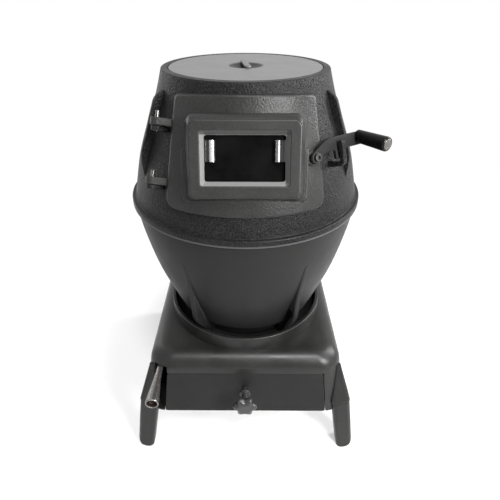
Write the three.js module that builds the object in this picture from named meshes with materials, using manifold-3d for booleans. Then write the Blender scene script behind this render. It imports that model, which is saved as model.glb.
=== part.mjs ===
// A small cast-iron potbelly stove: a square ash base on four splayed legs, a ribbed fire bowl
// seated in the base's collar, a bell-shaped barrel with a glazed loading door, and a round lid.
//
// Millimetres. +Z is up, the stove's own axis is X = Y = 0, the feet stand on Z = 0 and the
// door faces -Y. An azimuth is counted from the front (-Y) towards the right (+X).

import * as THREE from 'three';
import { mergeVertices } from 'three/addons/utils/BufferGeometryUtils.js';
import { ConvexGeometry } from 'three/addons/geometries/ConvexGeometry.js';
import Module from 'manifold-3d';

const wasm = await Module();
wasm.setup();

// ---------------------------------------------------------------- driving dimensions

const ROUND = 28;               // facets round the barrel and the bowl
const SIDES = 12;               // facets round a bar
const FIT = 0.3;                // clearance between pieces that seat on each other
const PAST = 5;                 // overshoot of a cutting tool past the faces that it cuts
const FRONT_NEAR = 30;          // span, from the axis, of a cut drawn on the front view
const FRONT_FAR = 260;

// legs
const LEG_TOP_Z = 104;          // inner edge of the joint between leg and base
const LEG_WIDTH = 31;
const LEG_CORNER = 8;
const LEG_SPLAY_X = 0.17;       // outward run for each millimetre of drop
const LEG_SPLAY_Y = 0.138;
const LEG_FOOT_X = 192;         // centre of the foot
const LEG_FOOT_Y = 176.5;
const LEG_TOE = 22;             // rounding of the outer lower corner
const LEG_JOINT_RISE = 0.46;    // slope of the joint, rising outwards
const LEG_STUD_R = 4;
const LEG_STUD_INSET = 3;       // of the stud from the leg's middle
const LEG_STUD_DOWN = 22;       // depth in the leg
const LEG_STUD_UP = 48;         // height over the leg's top
const BRACKET_DROP = 10;        // of the bracket's top, from the top of the base
const BRACKET_INSET = 6;
const BRACKET_TIP = 4;          // half width of the bracket's top

// ash base
const BASE_BOTTOM_Z = 88;
const BASE_TOP_Z = 213;
const BASE_HALF_X = 185;        // at the bottom edge
const BASE_HALF_Y = 176;
const BASE_DRAFT_X = 0.172;     // inward run for each millimetre of height
const BASE_DRAFT_Y = 0.096;
const BASE_CORNER = 26;
const BASE_EDGE = 14;           // rounding of the top edge
const BASE_WALL = 7;
const BASE_ROOF = 8;
const BASE_FLOOR = 4;

// collar on the base, in which the bowl stands
const COLLAR_RIM_R = 144;
const COLLAR_RIM_Z = 240;
const COLLAR_WALL = 7;
const COLLAR_FLARE = 11;        // the foot's fillet
const COLLAR_FLARE_RISE = 17;
const COLLAR_EASE = 1.5;        // softening of the rim
const COLLAR_FLOOR_Z = 220;
const ASH_HOLE_R = 102;

// drawer
const DRAWER_TOP_Z = 179;
const DRAWER_HALF_TOP = 136.5;
const DRAWER_HALF_BOTTOM = 147.5;
const DRAWER_PLATE = 7;
const DRAWER_GAP = 0.9;
const DRAWER_CORNER = 5;
const NOTCH_DEPTH = 40;         // of the cut in the front wall
const PAN_HALF_X = 127;
const PAN_DEPTH = 292;
const PAN_HEIGHT = 70;
const PAN_SHEET = 2;

// star knob
const KNOB_Z = 147;
const KNOB_R = 21;
const KNOB_THICK = 13;
const KNOB_LOBES = 6;
const KNOB_STEM = 33;           // from the drawer's face to the knob
const KNOB_STEM_R = 6;
const KNOB_COLLAR_R = 9.5;
const STEM_TAIL_R = 3.6;        // of the thread at both ends of the stem
const STEM_COLLAR_AT = 10;      // from the drawer's face
const STEM_COLLAR_THICK = 5;
const STEM_GAP = 1.2;           // between the stem's shoulder and the drawer's face
const STEM_SOCKET = 10;         // depth of the stem's tip in the knob
const STEM_NUT_R = 8;
const STEM_NUT_THICK = 6;

// shaker
const ROD_X = -150;
const ROD_Z = 183;
const ROD_R = 5.5;
const ROD_HANDLE_R = 11;
const ROD_HANDLE_END_Y = -232;
const ROD_HANDLE_ROOT_Y = -176;
const ROD_BACK_Y = 90;
const ROD_GUIDE = 12;           // thickness of each guide lug
const ROD_GUIDES_Y = [-132, 38];
const PEG_R = 4;
const SLOT_LEFT = -158.5;
const SLOT_TOP_Z = 194;
const ARM_Z = 190;
const ARM_THICK = 7;
const ARM_WIDTH = 22;
const ARM_REACH = 156;
const ARM_HUB_R = 18;

// fire bowl
const BOWL_TOP_Z = 450;
const BOWL_FOOT_Z = COLLAR_RIM_Z + 10;
// radii down the bowl, each with its share of the height from the curve's foot to its top
const BOWL_RADII = [[183.5, 1], [176.4, 0.775], [161.6, 0.46], [140.4, 0.16], [128, 0]];
const BOWL_WALL = 9;
const BOWL_FOOT_R = 112;
const BOWL_FOOT_WALL = 9;
const THROAT_R = 97;
const THROAT_LEDGE = 7;
const THROAT_LEDGE_Z = 232;
const THROAT_TOP_Z = 246;
const SPIGOT_R = 171.5;
const SPIGOT_WALL = 6;
const SPIGOT_RISE = 8;
const RIB_AZIMUTHS = [-32, 32, 148, 212];
const RIB_THICK = 9;
const RIB_TOP_Z = BOWL_TOP_Z - 52;
const RIB_REACH = 161;
const RIB_KNEE_Z = BOWL_TOP_Z - 133;
const RIB_KNEE_EASE = 42;       // height of the curve below the knee
const RIB_TOE = 12;             // upright part of the foot
const RIB_SUNK = 5;             // depth in the bowl's wall
const RIB_FOOT_R = 131;

// grate
const GRATE_R = 90.5;
const GRATE_THICK = 8;
const GRATE_HUB_R = 11;
const GRATE_STUD_R = 5;
const GRATE_LIFT = 4.3;         // of the grate's underside over its frame's
const GRATE_RIM = 12;           // outside the slots
const GRATE_PLAY = 0.8;         // round the grate
const GRATE_NUT_R = 9.5;
const GRATE_NUT_THICK = 6.7;
const GRATE_SLOTS = 7;
const GRATE_SLOT = 9;
const GRATE_PITCH = 21;

// barrel
const BARREL_TOP_Z = 650;
// radii down the barrel, each with its share of the height from the bead to the top
const BARREL_RADII = [[122, 1], [133, 0.81], [149.6, 0.592], [166.2, 0.348], [176.2, 0.13], [181.4, 0]];
const BARREL_WALL = 9;
const BEAD_R = 188;
const BEAD_TOP_Z = BOWL_TOP_Z + 14;
const BARREL_FOOT_Z = BEAD_TOP_Z + 2;
const BEAD_EASE = 5;            // of its rounded upper edge
const SEAL_THICK = 1.8;
const RIM_WIDTH = 9.5;          // flat ring round the lid
const LID_THICK = 8;
const LID_GAP = 0.7;
const LID_LEDGE = 9;
const LID_LEDGE_THICK = 7;

// fins on both sides of the door
const FIN_AZIMUTH = 60;
const FIN_THICK = 6.5;
const FIN_RADII = [
  [131, 0.886], [142, 0.842], [148, 0.772], [160, 0.603], [170, 0.457], [172, 0.375], [171, 0.261],
];

// lid socket
const SOCKET_R = 26;
const SOCKET_DEPTH = 6;
const SOCKET_WALL = 4;
const LIFT_BAR_LENGTH = 58;
const LIFT_BAR_WIDTH = 9;
const LIFT_BAR_THICK = 3;
const LIFT_BAR_TURN = 8;        // degrees

// flue collar at the back
const FLUE_Z = BARREL_TOP_Z - 90;
const FLUE_BORE_R = 45;
const FLUE_WALL = 5;
const FLUE_FLANGE_R = 64;
const FLUE_FLANGE_THICK = 8;
const FLUE_SEAT_Y = 178;
const FLUE_END_Y = 232;
const FLUE_BOLTS = 3;
const FLUE_BOLT_CIRCLE_R = 57;
const FLUE_BOLT_R = 4;
const FLUE_BOLT_DEPTH = 14;     // in the barrel
const FLUE_BOLT_HEAD_R = 6.8;
const FLUE_BOLT_HEAD = 5;

// door
const DOOR_BOTTOM_Z = BOWL_TOP_Z + 46;
const DOOR_TOP_Z = BARREL_TOP_Z - 12;
const DOOR_HALF_BOTTOM = 108;
const DOOR_HALF_TOP = 90.5;
const DOOR_CORNER = 16;
const DOOR_BOW = 6.5;           // fall of the top edge from its middle to its ends
const DOOR_PLATE = 8;
const DOOR_GAP = 0.4;
const DOOR_LAP = 14;            // how far the door covers the barrel round the opening
const ROPE_INSET = 4;
const ROPE_WIDTH = 5.5;
const ROPE_DEPTH = 3.6;
const DOOR_LEAN = 20;           // degrees, of the window box's face
const BOX_CENTRE_Z = BARREL_TOP_Z - 85;
const BOX_PROUD = 20.5;         // of the box's face over the barrel, at its centre
const BOX_HALF_WIDTH = 69.5;
const BOX_LOW = -41;            // up the box's face from its centre
const BOX_HIGH = 54;
const BOX_DEPTH = 46;
const BOX_DRAFT = 0.26;         // outward run for each millimetre of depth
const BOX_TOP_FLARE = 8;        // of the top wall, over its first BOX_KNEE of depth
const BOX_KNEE = 12;
const BOX_CORNER = 9;
const BOX_WALL = 9;
const PAD_MARGIN = 12.5;        // of the lower step, past the box on each side
const PAD_LOW = -48;
const PAD_HIGH = 23;
const PAD_STEP = 26;            // behind the box's face
const PAD_DRAFT = 0.1;
const WINDOW_HALF_WIDTH = 55.5;
const WINDOW_LOW = -25.5;
const WINDOW_HIGH = 41.5;
const WINDOW_BEVEL = 5.5;
const WINDOW_LIP = 5;
const WINDOW_LIP_THICK = 4;
const GLASS_THICK = 4;
const GLASS_DROP = 3;           // of the glass behind its clips
const WINDOW_CORNER = 3;
const CLIP_LOW = 4;
const CLIP_HIGH = 30;
const CLIP_REACH = 12.5;
const CLIP_SHEET = 1.4;
const CLIP_ROLL = 7;

// hinge
// middle of each pin's head, on the axis: azimuth, height, and distance from the barrel's curve
const HINGE_UPPER = [-48.33, BARREL_TOP_Z - 42.5, 17.5];
const HINGE_LOWER = [-43.89, BARREL_TOP_Z - 113.5, 15.1];
const PIN_R = 2.6;
const PIN_BORE_R = 1.4;
const PIN_SLOT = 1.1;
const PIN_ABOVE = 4;
const PIN_LENGTH = 26;
const LUG_SUNK = 20;            // how far the barrel's lug runs back, and sideways, into the wall
const LUG_R = 8.8;
const LUG_THICK = 10;
const BARREL_LUG_R = 7;
const BARREL_LUG_THICK = 6.5;
const LUG_ROOT = [19, 0];       // of the door's lug, from the pin
const LUG_ROOT_R = 4.5;
const LUG_DROP = 4.5;           // from the pin's mark to the top of the door's lug

// latch
const LATCH_AZIMUTH = 33.6;
const LATCH_LEAN = 20;
const LATCH_Z = BARREL_TOP_Z - 89;
const PIVOT_SIDE = -4.5;        // the pivot's place, sideways from the latch's own azimuth
const PIVOT_BOSS_R = 9.5;
const PIVOT_BOSS_RISE = 3;
const PIVOT_BOSS_SPREAD = 3;    // of its foot past its face
const PIVOT_ROOM = 2.2;         // round the handle's eye
const PIVOT_BOLT_R = 3.2;
const PIVOT_DEPTH = 4;          // of the bolt in the door
const PIVOT_HEAD_R = 5.6;
const PIVOT_HEAD_THICK = 4;
const PIVOT_SOCKET_R = 2.6;
const PIVOT_SOCKET = 2.4;
const PIVOT_WASHER_R = 7;
const PIVOT_WASHER_THICK = 1;
const HANDLE_PLATE = 5;
const HANDLE_EYE_R = 7.6;
const HANDLE_EDGE = 2.5;        // rounding of the arm's corners
const HANDLE_LOW = 3.3;
const HANDLE_HIGH = 20.8;
const HANDLE_REACH = 81;
const TOOTH_FROM = 29;
const TOOTH_TO = 42;
const TOOTH_LOW = -8.5;
const GRIP_AZIMUTH = 34.6;
const GRIP_INSET = 7;           // of its axis from the arm's end
const GRIP_RISE = 2.5;
const GRIP_ROOT_V = 14.5;       // of its axis, up the arm
const GRIP_START = -6;
const GRIP_LENGTH = 57;
const GRIP_R = 8.9;
const GRIP_END_R = 9.5;
const GRIP_CAP_R = 6.8;
const GRIP_CAP_SEAT = 1.5;
const NECK_R = 5.5;
const NECK_LENGTH = 20;
const HOOK_AZIMUTH = 45.6;
const HOOK_THICK = 8;
const HOOK_SUNK = 8;            // depth of its root in the wall
const HOOK_THROAT = 20.6;       // from the barrel to the inner face of the upright
const HOOK_BAR = 6;
const HOOK_FLOOR = -15.5;
const HOOK_TOP = 12;

// ---------------------------------------------------------------- materials

const iron = (tone, roughness = 0.7) =>
  new THREE.MeshStandardMaterial({ color: new THREE.Color(tone, tone, tone), roughness, metalness: 0.55 });
const CAST_ROUGH = iron(0.075, 0.85);
const CAST_SMOOTH = iron(0.09, 0.55);
const CAST_LID = iron(0.16, 0.5);
const STEEL = new THREE.MeshStandardMaterial({ color: 0x8a8c8f, roughness: 0.35, metalness: 1 });
const DARK_STEEL = new THREE.MeshStandardMaterial({ color: 0x3a3c3f, roughness: 0.5, metalness: 0.9 });
const GRIP_FINISH = new THREE.MeshStandardMaterial({ color: 0x0c0c0d, roughness: 0.2, metalness: 0 });
const GLASS = new THREE.MeshStandardMaterial({ color: 0x0a0c0c, roughness: 0.05, metalness: 0 });
const ROPE = new THREE.MeshStandardMaterial({ color: 0x55524c, roughness: 1, metalness: 0 });

// ---------------------------------------------------------------- solids from geometries

const stove = new THREE.Group();

/** A closed geometry as a solid: shared corners merged, collapsed faces dropped, faces outwards. */
function solid(geometry) {
  const bare = geometry.clone();
  bare.deleteAttribute('normal');
  bare.deleteAttribute('uv');
  const merged = mergeVertices(bare, 1e-4);
  const position = merged.getAttribute('position');
  const index = merged.getIndex().array;
  const faces = [];
  for (let i = 0; i < index.length; i += 3) {
    const [a, b, c] = index.slice(i, i + 3);
    if (a !== b && b !== c && c !== a) faces.push([a, b, c]);
  }
  const at = (i) => new THREE.Vector3().fromBufferAttribute(position, i);
  const volume = faces.reduce((sum, [a, b, c]) => sum + at(a).dot(at(b).cross(at(c))), 0);
  const outward = faces.map(([a, b, c]) => (volume > 0 ? [a, b, c] : [a, c, b]));
  const triVerts = new Uint32Array(outward.flat());
  const vertProperties = new Float32Array(position.array);
  return new wasm.Manifold(new wasm.Mesh({ numProp: 3, vertProperties, triVerts }));
}

/** A solid as a three.js geometry. */
function geometryOf(body) {
  const mesh = body.getMesh();
  const geometry = new THREE.BufferGeometry();
  geometry.setAttribute('position', new THREE.BufferAttribute(new Float32Array(mesh.vertProperties), 3));
  geometry.setIndex(new THREE.BufferAttribute(new Uint32Array(mesh.triVerts), 1));
  geometry.computeVertexNormals();
  return geometry;
}

/** Adds a solid to the stove as a named mesh. */
function piece(name, body, material) {
  const mesh = new THREE.Mesh(geometryOf(body), material);
  mesh.name = name;
  stove.add(mesh);
}

const union = (...bodies) => bodies.reduce((sum, body) => sum.add(body));
const degrees = THREE.MathUtils.degToRad;

/** A ring or disc turned about Z from a profile of [radius, z] points. */
function revolve(profile, segments = ROUND) {
  const points = [...profile, profile[0]].map(([r, z]) => new THREE.Vector2(r, z));
  return solid(new THREE.LatheGeometry(points, segments).rotateX(Math.PI / 2));
}

/** Points of a smooth curve through [radius, z] points, `steps` to each span. */
function smooth(through, steps = 2) {
  const curve = new THREE.SplineCurve(through.map(([r, z]) => new THREE.Vector2(r, z)));
  return curve.getPoints(steps * (through.length - 1)).map((p) => [p.x, p.y]);
}

/** [radius, z] points from radii with their shares of the height between two levels. */
const overHeight = (radii, low, high) => radii.map(([r, share]) => [r, low + share * (high - low)]);

/** Points of a curve from one [radius, z] point to another, drawn towards the corner between. */
function swept(from, corner, to, steps = 3) {
  const [a, b, c] = [from, corner, to].map(([r, z]) => new THREE.Vector2(r, z));
  return new THREE.QuadraticBezierCurve(a, b, c).getPoints(steps).map((p) => [p.x, p.y]);
}

/** The radius of a smooth [radius, z] curve at a height. */
function radiusAt(curve, z) {
  const fine = smooth(curve, 12);
  for (let i = 1; i < fine.length; i += 1) {
    const [[r0, z0], [r1, z1]] = [fine[i - 1], fine[i]];
    if ((z0 - z) * (z1 - z) <= 0) return r0 + ((r1 - r0) * (z - z0)) / (z1 - z0);
  }
  return z > fine[0][1] ? fine[0][0] : fine[fine.length - 1][0];
}

/** A closed outline through [x, y] corners, each rounded by a curve that starts `radius` away. */
function rounded(corners, radius) {
  const shape = new THREE.Shape();
  corners.forEach((corner, i) => {
    const here = new THREE.Vector2(...corner);
    const before = new THREE.Vector2(...corners[(i + corners.length - 1) % corners.length]);
    const after = new THREE.Vector2(...corners[(i + 1) % corners.length]);
    const reach = Math.min(radius, here.distanceTo(before) / 2.01, here.distanceTo(after) / 2.01);
    const start = here.clone().add(before.sub(here).setLength(reach));
    const end = here.clone().add(after.sub(here).setLength(reach));
    if (i === 0) shape.moveTo(start.x, start.y);
    else shape.lineTo(start.x, start.y);
    shape.quadraticCurveTo(here.x, here.y, end.x, end.y);
  });
  shape.closePath();
  return shape;
}

/** A round-ended bar from [x, y] to [x, y]. */
function stadium([x0, y0], [x1, y1], radius) {
  const turn = Math.atan2(y1 - y0, x1 - x0);
  const shape = new THREE.Shape();
  shape.absarc(x0, y0, radius, turn + Math.PI / 2, turn + (3 * Math.PI) / 2, false);
  shape.absarc(x1, y1, radius, turn - Math.PI / 2, turn + Math.PI / 2, false);
  shape.closePath();
  return shape;
}

/** A straight extrusion of an outline between two heights, set down by `frame`. */
function slab(shape, from, to, frame = new THREE.Matrix4(), curveSegments = 3) {
  const options = { depth: to - from, bevelEnabled: false, curveSegments };
  const geometry = new THREE.ExtrudeGeometry(shape, options).translate(0, 0, from);
  return solid(geometry.applyMatrix4(frame));
}

/** A round bar along its frame's Z. */
function bar(radius, from, to, frame = new THREE.Matrix4(), sides = SIDES, endRadius = radius) {
  const geometry = new THREE.CylinderGeometry(endRadius, radius, to - from, sides);
  geometry.rotateX(Math.PI / 2).translate(0, 0, (from + to) / 2);
  return solid(geometry.applyMatrix4(frame));
}

/** The convex solid that holds all the points. */
const hull = (points) => solid(new ConvexGeometry(points));

/** A box between two corners. */
function block([x0, y0, z0], [x1, y1, z1], frame = new THREE.Matrix4()) {
  const geometry = new THREE.BoxGeometry(x1 - x0, y1 - y0, z1 - z0);
  geometry.translate((x0 + x1) / 2, (y0 + y1) / 2, (z0 + z1) / 2);
  return solid(geometry.applyMatrix4(frame));
}

/** Axes of a face that looks out at an azimuth and leans back: X to its right, Y up it, Z out of it. */
function facing(origin, azimuth, lean) {
  const [a, t] = [degrees(azimuth), degrees(lean)];
  const right = new THREE.Vector3(Math.cos(a), Math.sin(a), 0);
  const out = new THREE.Vector3(Math.sin(a) * Math.cos(t), -Math.cos(a) * Math.cos(t), Math.sin(t));
  const up = new THREE.Vector3().crossVectors(out, right);
  return new THREE.Matrix4().makeBasis(right, up, out).setPosition(...origin);
}

/** Axes of the upright plane through the stove's axis at an azimuth: X outwards, Y up, Z across. */
function radial(azimuth) {
  const a = degrees(azimuth);
  const out = new THREE.Vector3(Math.sin(a), -Math.cos(a), 0);
  const up = new THREE.Vector3(0, 0, 1);
  return new THREE.Matrix4().makeBasis(out, up, new THREE.Vector3().crossVectors(out, up));
}

/** A plate in a radial plane, from its shape in [radius, z]. */
function radialPlate(shape, thickness, azimuth) {
  return slab(shape, -thickness / 2, thickness / 2, radial(azimuth));
}

/** Everything in front of the stove whose front view lies inside an outline of [x, z]. */
function frontPrism(shape) {
  const options = { depth: FRONT_FAR - FRONT_NEAR, bevelEnabled: false, curveSegments: 3 };
  return solid(new THREE.ExtrudeGeometry(shape, options).translate(0, 0, FRONT_NEAR).rotateX(Math.PI / 2));
}

/** Points of a level circle. */
function circle(x, y, r, z, sides = 16) {
  return Array.from({ length: sides }, (_, i) => {
    const angle = (i / sides) * 2 * Math.PI;
    return new THREE.Vector3(x + r * Math.cos(angle), y + r * Math.sin(angle), z);
  });
}

/** Points of a level rounded rectangle. */
function rectangleRing(halfX, halfY, corner, z, steps = 2) {
  const points = [];
  for (const [sx, sy, from] of [[1, 1, 0], [-1, 1, 1], [-1, -1, 2], [1, -1, 3]]) {
    for (let i = 0; i <= steps; i += 1) {
      const angle = (from + i / steps) * (Math.PI / 2);
      const x = sx * (halfX - corner) + corner * Math.cos(angle);
      const y = sy * (halfY - corner) + corner * Math.sin(angle);
      points.push(new THREE.Vector3(x, y, z));
    }
  }
  return points;
}

// ---------------------------------------------------------------- ash base and legs

const baseHalfX = (z) => BASE_HALF_X - BASE_DRAFT_X * (z - BASE_BOTTOM_Z);
const baseHalfY = (z) => BASE_HALF_Y - BASE_DRAFT_Y * (z - BASE_BOTTOM_Z);

/** The drafted box of the base, moved in by `inset`, with its top edge rounded. */
function baseBox(inset, bottom, top, edge) {
  const ring = (z, extra) => {
    const [x, y] = [baseHalfX(z) - inset - extra, baseHalfY(z) - inset - extra];
    return rectangleRing(x, y, Math.max(BASE_CORNER - inset - extra / 2, 6), z, 3);
  };
  const points = ring(bottom, 0);
  const steps = 3;
  for (let i = 0; i <= steps; i += 1) {
    const angle = (i / steps) * (Math.PI / 2);
    points.push(...ring(top - edge + edge * Math.sin(angle), edge * (1 - Math.cos(angle))));
  }
  return hull(points);
}

/** One leg's level section, grown by `grow`, at a height that may rise outwards. */
function legSection(sideX, sideY, z, grow = 0, rise = 0) {
  const half = LEG_WIDTH / 2 + grow;
  const centreX = LEG_FOOT_X - LEG_SPLAY_X * z;
  const centreY = LEG_FOOT_Y - LEG_SPLAY_Y * z;
  return rectangleRing(half, half, LEG_CORNER, z).map((p) => {
    const lift = rise * (sideX * p.x + LEG_WIDTH / 2);
    return new THREE.Vector3(sideX * centreX + p.x, sideY * centreY + p.y, z + lift);
  });
}

/** A splayed post whose outer lower corner is rounded off and whose top meets the base at a slope. */
function leg(sideX, sideY) {
  const points = legSection(sideX, sideY, LEG_TOP_Z, 0, LEG_JOINT_RISE);
  const steps = 4;
  for (let i = 0; i <= steps; i += 1) {
    const angle = (i / steps) * (Math.PI / 2);
    const z = LEG_TOE * (1 - Math.sin(angle));
    const pull = LEG_TOE * (1 - Math.cos(angle));
    for (const p of legSection(sideX, sideY, z)) {
      const outer = LEG_FOOT_X - LEG_SPLAY_X * z + LEG_WIDTH / 2 - pull;
      p.x = sideX * Math.min(sideX * p.x, outer);
      points.push(p);
    }
  }
  return hull(points).subtract(studHole(sideX, sideY));
}

/** The room that a leg's top takes out of the base. */
function legClearance(sideX, sideY) {
  const low = legSection(sideX, sideY, BASE_BOTTOM_Z - PAST, FIT);
  return hull([...low, ...legSection(sideX, sideY, LEG_TOP_Z + FIT, FIT, LEG_JOINT_RISE)]);
}

function studFrame(sideX, sideY) {
  const x = sideX * (LEG_FOOT_X - LEG_SPLAY_X * LEG_TOP_Z - LEG_STUD_INSET);
  const y = sideY * (LEG_FOOT_Y - LEG_SPLAY_Y * LEG_TOP_Z - LEG_STUD_INSET);
  return new THREE.Matrix4().makeTranslation(x, y, 0);
}

/** A leg's stud, or with FIT round it and more at its ends the hole for it. */
function studBar(sideX, sideY, play, past) {
  const [from, to] = [LEG_TOP_Z - LEG_STUD_DOWN - past, LEG_TOP_Z + LEG_STUD_UP + past];
  return bar(LEG_STUD_R + play, from, to, studFrame(sideX, sideY), 8);
}

const studHole = (sideX, sideY) => studBar(sideX, sideY, FIT, 2);

/** The corner of the base that flares out to the leg's full section. */
function legBracket(sideX, sideY) {
  const points = legSection(sideX, sideY, LEG_TOP_Z + FIT, 1.5, LEG_JOINT_RISE);
  const top = BASE_TOP_Z - BRACKET_DROP;
  const [x, y] = [sideX * (baseHalfX(top) - BRACKET_INSET), sideY * (baseHalfY(top) - BRACKET_INSET)];
  const tip = rectangleRing(BRACKET_TIP, BRACKET_TIP, 1, top, 1).map((p) => p.add(new THREE.Vector3(x, y, 0)));
  return hull([...points, ...tip]);
}

/** The collar: a flared foot on the base's top, a soft rim, and a floor for the bowl. */
function collar() {
  const [rim, inside, foot] = [COLLAR_RIM_R, COLLAR_RIM_R - COLLAR_WALL, COLLAR_RIM_R + COLLAR_FLARE];
  const under = BASE_TOP_Z - BASE_ROOF;
  return revolve([
    [ASH_HOLE_R, under], [foot, under],
    ...swept([foot, BASE_TOP_Z - 0.5], [rim, BASE_TOP_Z], [rim, BASE_TOP_Z + COLLAR_FLARE_RISE]),
    [rim, COLLAR_RIM_Z - COLLAR_EASE], [rim - COLLAR_EASE, COLLAR_RIM_Z],
    [inside + COLLAR_EASE, COLLAR_RIM_Z], [inside, COLLAR_RIM_Z - COLLAR_EASE],
    [inside, COLLAR_FLOOR_Z], [ASH_HOLE_R, COLLAR_FLOOR_Z],
  ]);
}

/** The drawer front's outline cut through the front wall, and the rod's slot down to the floor. */
function frontNotch() {
  const top = DRAWER_TOP_Z + DRAWER_GAP;
  const low = BASE_BOTTOM_Z - PAST;
  const slope = (DRAWER_HALF_BOTTOM - DRAWER_HALF_TOP) / (DRAWER_TOP_Z - BASE_BOTTOM_Z);
  const half = (z) => DRAWER_HALF_TOP + DRAWER_GAP + slope * (DRAWER_TOP_Z - z);
  const shape = new THREE.Shape([
    [-half(low), low], [half(low), low], [half(top), top], [-half(top), top],
  ].map((p) => new THREE.Vector2(...p)));
  const options = { depth: NOTCH_DEPTH, bevelEnabled: false };
  const geometry = new THREE.ExtrudeGeometry(shape, options).translate(0, 0, BASE_HALF_Y - NOTCH_DEPTH / 2);
  const [front, back] = [-BASE_HALF_Y - PAST, -BASE_HALF_Y + NOTCH_DEPTH];
  const slot = block([SLOT_LEFT, front, BASE_BOTTOM_Z + BASE_FLOOR], [-half(top) + 2, back, SLOT_TOP_Z]);
  return solid(geometry.rotateX(Math.PI / 2)).add(slot);
}

function baseCasting() {
  const outer = baseBox(0, BASE_BOTTOM_Z, BASE_TOP_Z, BASE_EDGE);
  const hollow = baseBox(BASE_WALL, BASE_BOTTOM_Z + BASE_FLOOR, BASE_TOP_Z - BASE_ROOF, 4);
  const shell = outer.subtract(hollow);
  const ashHole = bar(ASH_HOLE_R, BASE_TOP_Z - BASE_ROOF - PAST, BASE_TOP_Z + PAST, undefined, ROUND);
  let casting = union(shell.subtract(ashHole), collar());
  for (const sideX of [-1, 1]) {
    for (const sideY of [-1, 1]) {
      casting = casting.add(legBracket(sideX, sideY)).subtract(legClearance(sideX, sideY));
      casting = casting.subtract(studHole(sideX, sideY));
    }
  }
  casting = casting.subtract(frontNotch());
  for (const y of ROD_GUIDES_Y) {
    const wall = -baseHalfX(ROD_Z) + BASE_WALL / 2;
    const half = 2 * ROD_R - 1;
    const lug = block([wall, y, ROD_Z - half], [ROD_X + half, y + ROD_GUIDE, ROD_Z + half]);
    const bore = bar(ROD_R + FIT, -y - ROD_GUIDE - PAST, -y + PAST, alongFront(ROD_X, ROD_Z));
    casting = casting.add(lug).subtract(bore);
  }
  return casting;
}

/** Axes of a line that runs towards the front at an [x, z] place: Z along -Y. */
function alongFront(x, z) {
  return new THREE.Matrix4().makeRotationX(Math.PI / 2).setPosition(x, 0, z);
}

piece('base_casting', baseCasting(), CAST_SMOOTH);

for (const [side, sideX] of [['left', -1], ['right', 1]]) {
  for (const [end, sideY] of [['front', -1], ['rear', 1]]) {
    piece(`leg_${end}_${side}`, leg(sideX, sideY), CAST_SMOOTH);
    piece(`leg_stud_${end}_${side}`, studBar(sideX, sideY, 0, 0), STEEL);
  }
}

// ---------------------------------------------------------------- ash drawer and star knob

const drawerLean = THREE.MathUtils.radToDeg(Math.atan(BASE_DRAFT_Y));
const drawerFrame = facing([0, -BASE_HALF_Y, BASE_BOTTOM_Z], 0, drawerLean);
const panFront = -(baseHalfY(DRAWER_TOP_Z) - DRAWER_PLATE) + FIT;
const drawerRise = Math.hypot(1, BASE_DRAFT_Y) * (DRAWER_TOP_Z - BASE_BOTTOM_Z);

/** The hole for the stem's tail, through the drawer's front and the pan. */
function stemHole() {
  const [from, to] = [-panFront - PAN_SHEET - PAST, BASE_HALF_Y + PAST];
  return bar(STEM_TAIL_R + FIT, from, to, alongFront(0, KNOB_Z));
}

function drawerFront() {
  const outline = rounded([
    [-DRAWER_HALF_BOTTOM, 0], [DRAWER_HALF_BOTTOM, 0],
    [DRAWER_HALF_TOP, drawerRise], [-DRAWER_HALF_TOP, drawerRise],
  ], DRAWER_CORNER);
  return slab(outline, -DRAWER_PLATE, 0, drawerFrame).subtract(stemHole());
}

piece('drawer_front', drawerFront(), CAST_SMOOTH);

function ashPan() {
  const bottom = BASE_BOTTOM_Z + BASE_FLOOR + FIT;
  const front = panFront;
  const back = front + PAN_DEPTH;
  const outer = block([-PAN_HALF_X, front, bottom], [PAN_HALF_X, back, bottom + PAN_HEIGHT]);
  const inner = block(
    [-PAN_HALF_X + PAN_SHEET, front + PAN_SHEET, bottom + PAN_SHEET],
    [PAN_HALF_X - PAN_SHEET, back - PAN_SHEET, bottom + PAN_HEIGHT + PAST],
  );
  return outer.subtract(inner).subtract(stemHole());
}

piece('ash_pan', ashPan(), DARK_STEEL);

const drawerFaceY = baseHalfY(KNOB_Z);
const nutFront = -panFront - PAN_SHEET - FIT;

function knobStem() {
  const front = drawerFaceY + KNOB_STEM;
  const frame = alongFront(0, KNOB_Z);
  const ringFrom = drawerFaceY + STEM_COLLAR_AT;
  const tail = bar(STEM_TAIL_R, nutFront - STEM_NUT_THICK - 2, drawerFaceY + 2 * STEM_GAP, frame);
  const shank = bar(KNOB_STEM_R, drawerFaceY + STEM_GAP, front - FIT, frame);
  const ring = bar(KNOB_COLLAR_R, ringFrom, ringFrom + STEM_COLLAR_THICK, frame);
  const tip = bar(STEM_TAIL_R, front - 2, front + STEM_SOCKET, frame);
  return union(tail, shank, ring, tip);
}

piece('knob_stem', knobStem(), DARK_STEEL);

/** A six-sided nut along a frame's Z, with its bore. */
function nut(radius, from, to, boreR, frame) {
  return bar(radius, from, to, frame, 6).subtract(bar(boreR, from - PAST, to + PAST, frame));
}

const knobNut = nut(STEM_NUT_R, nutFront - STEM_NUT_THICK, nutFront, STEM_TAIL_R + FIT, alongFront(0, KNOB_Z));
piece('knob_nut', knobNut, STEEL);

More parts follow.
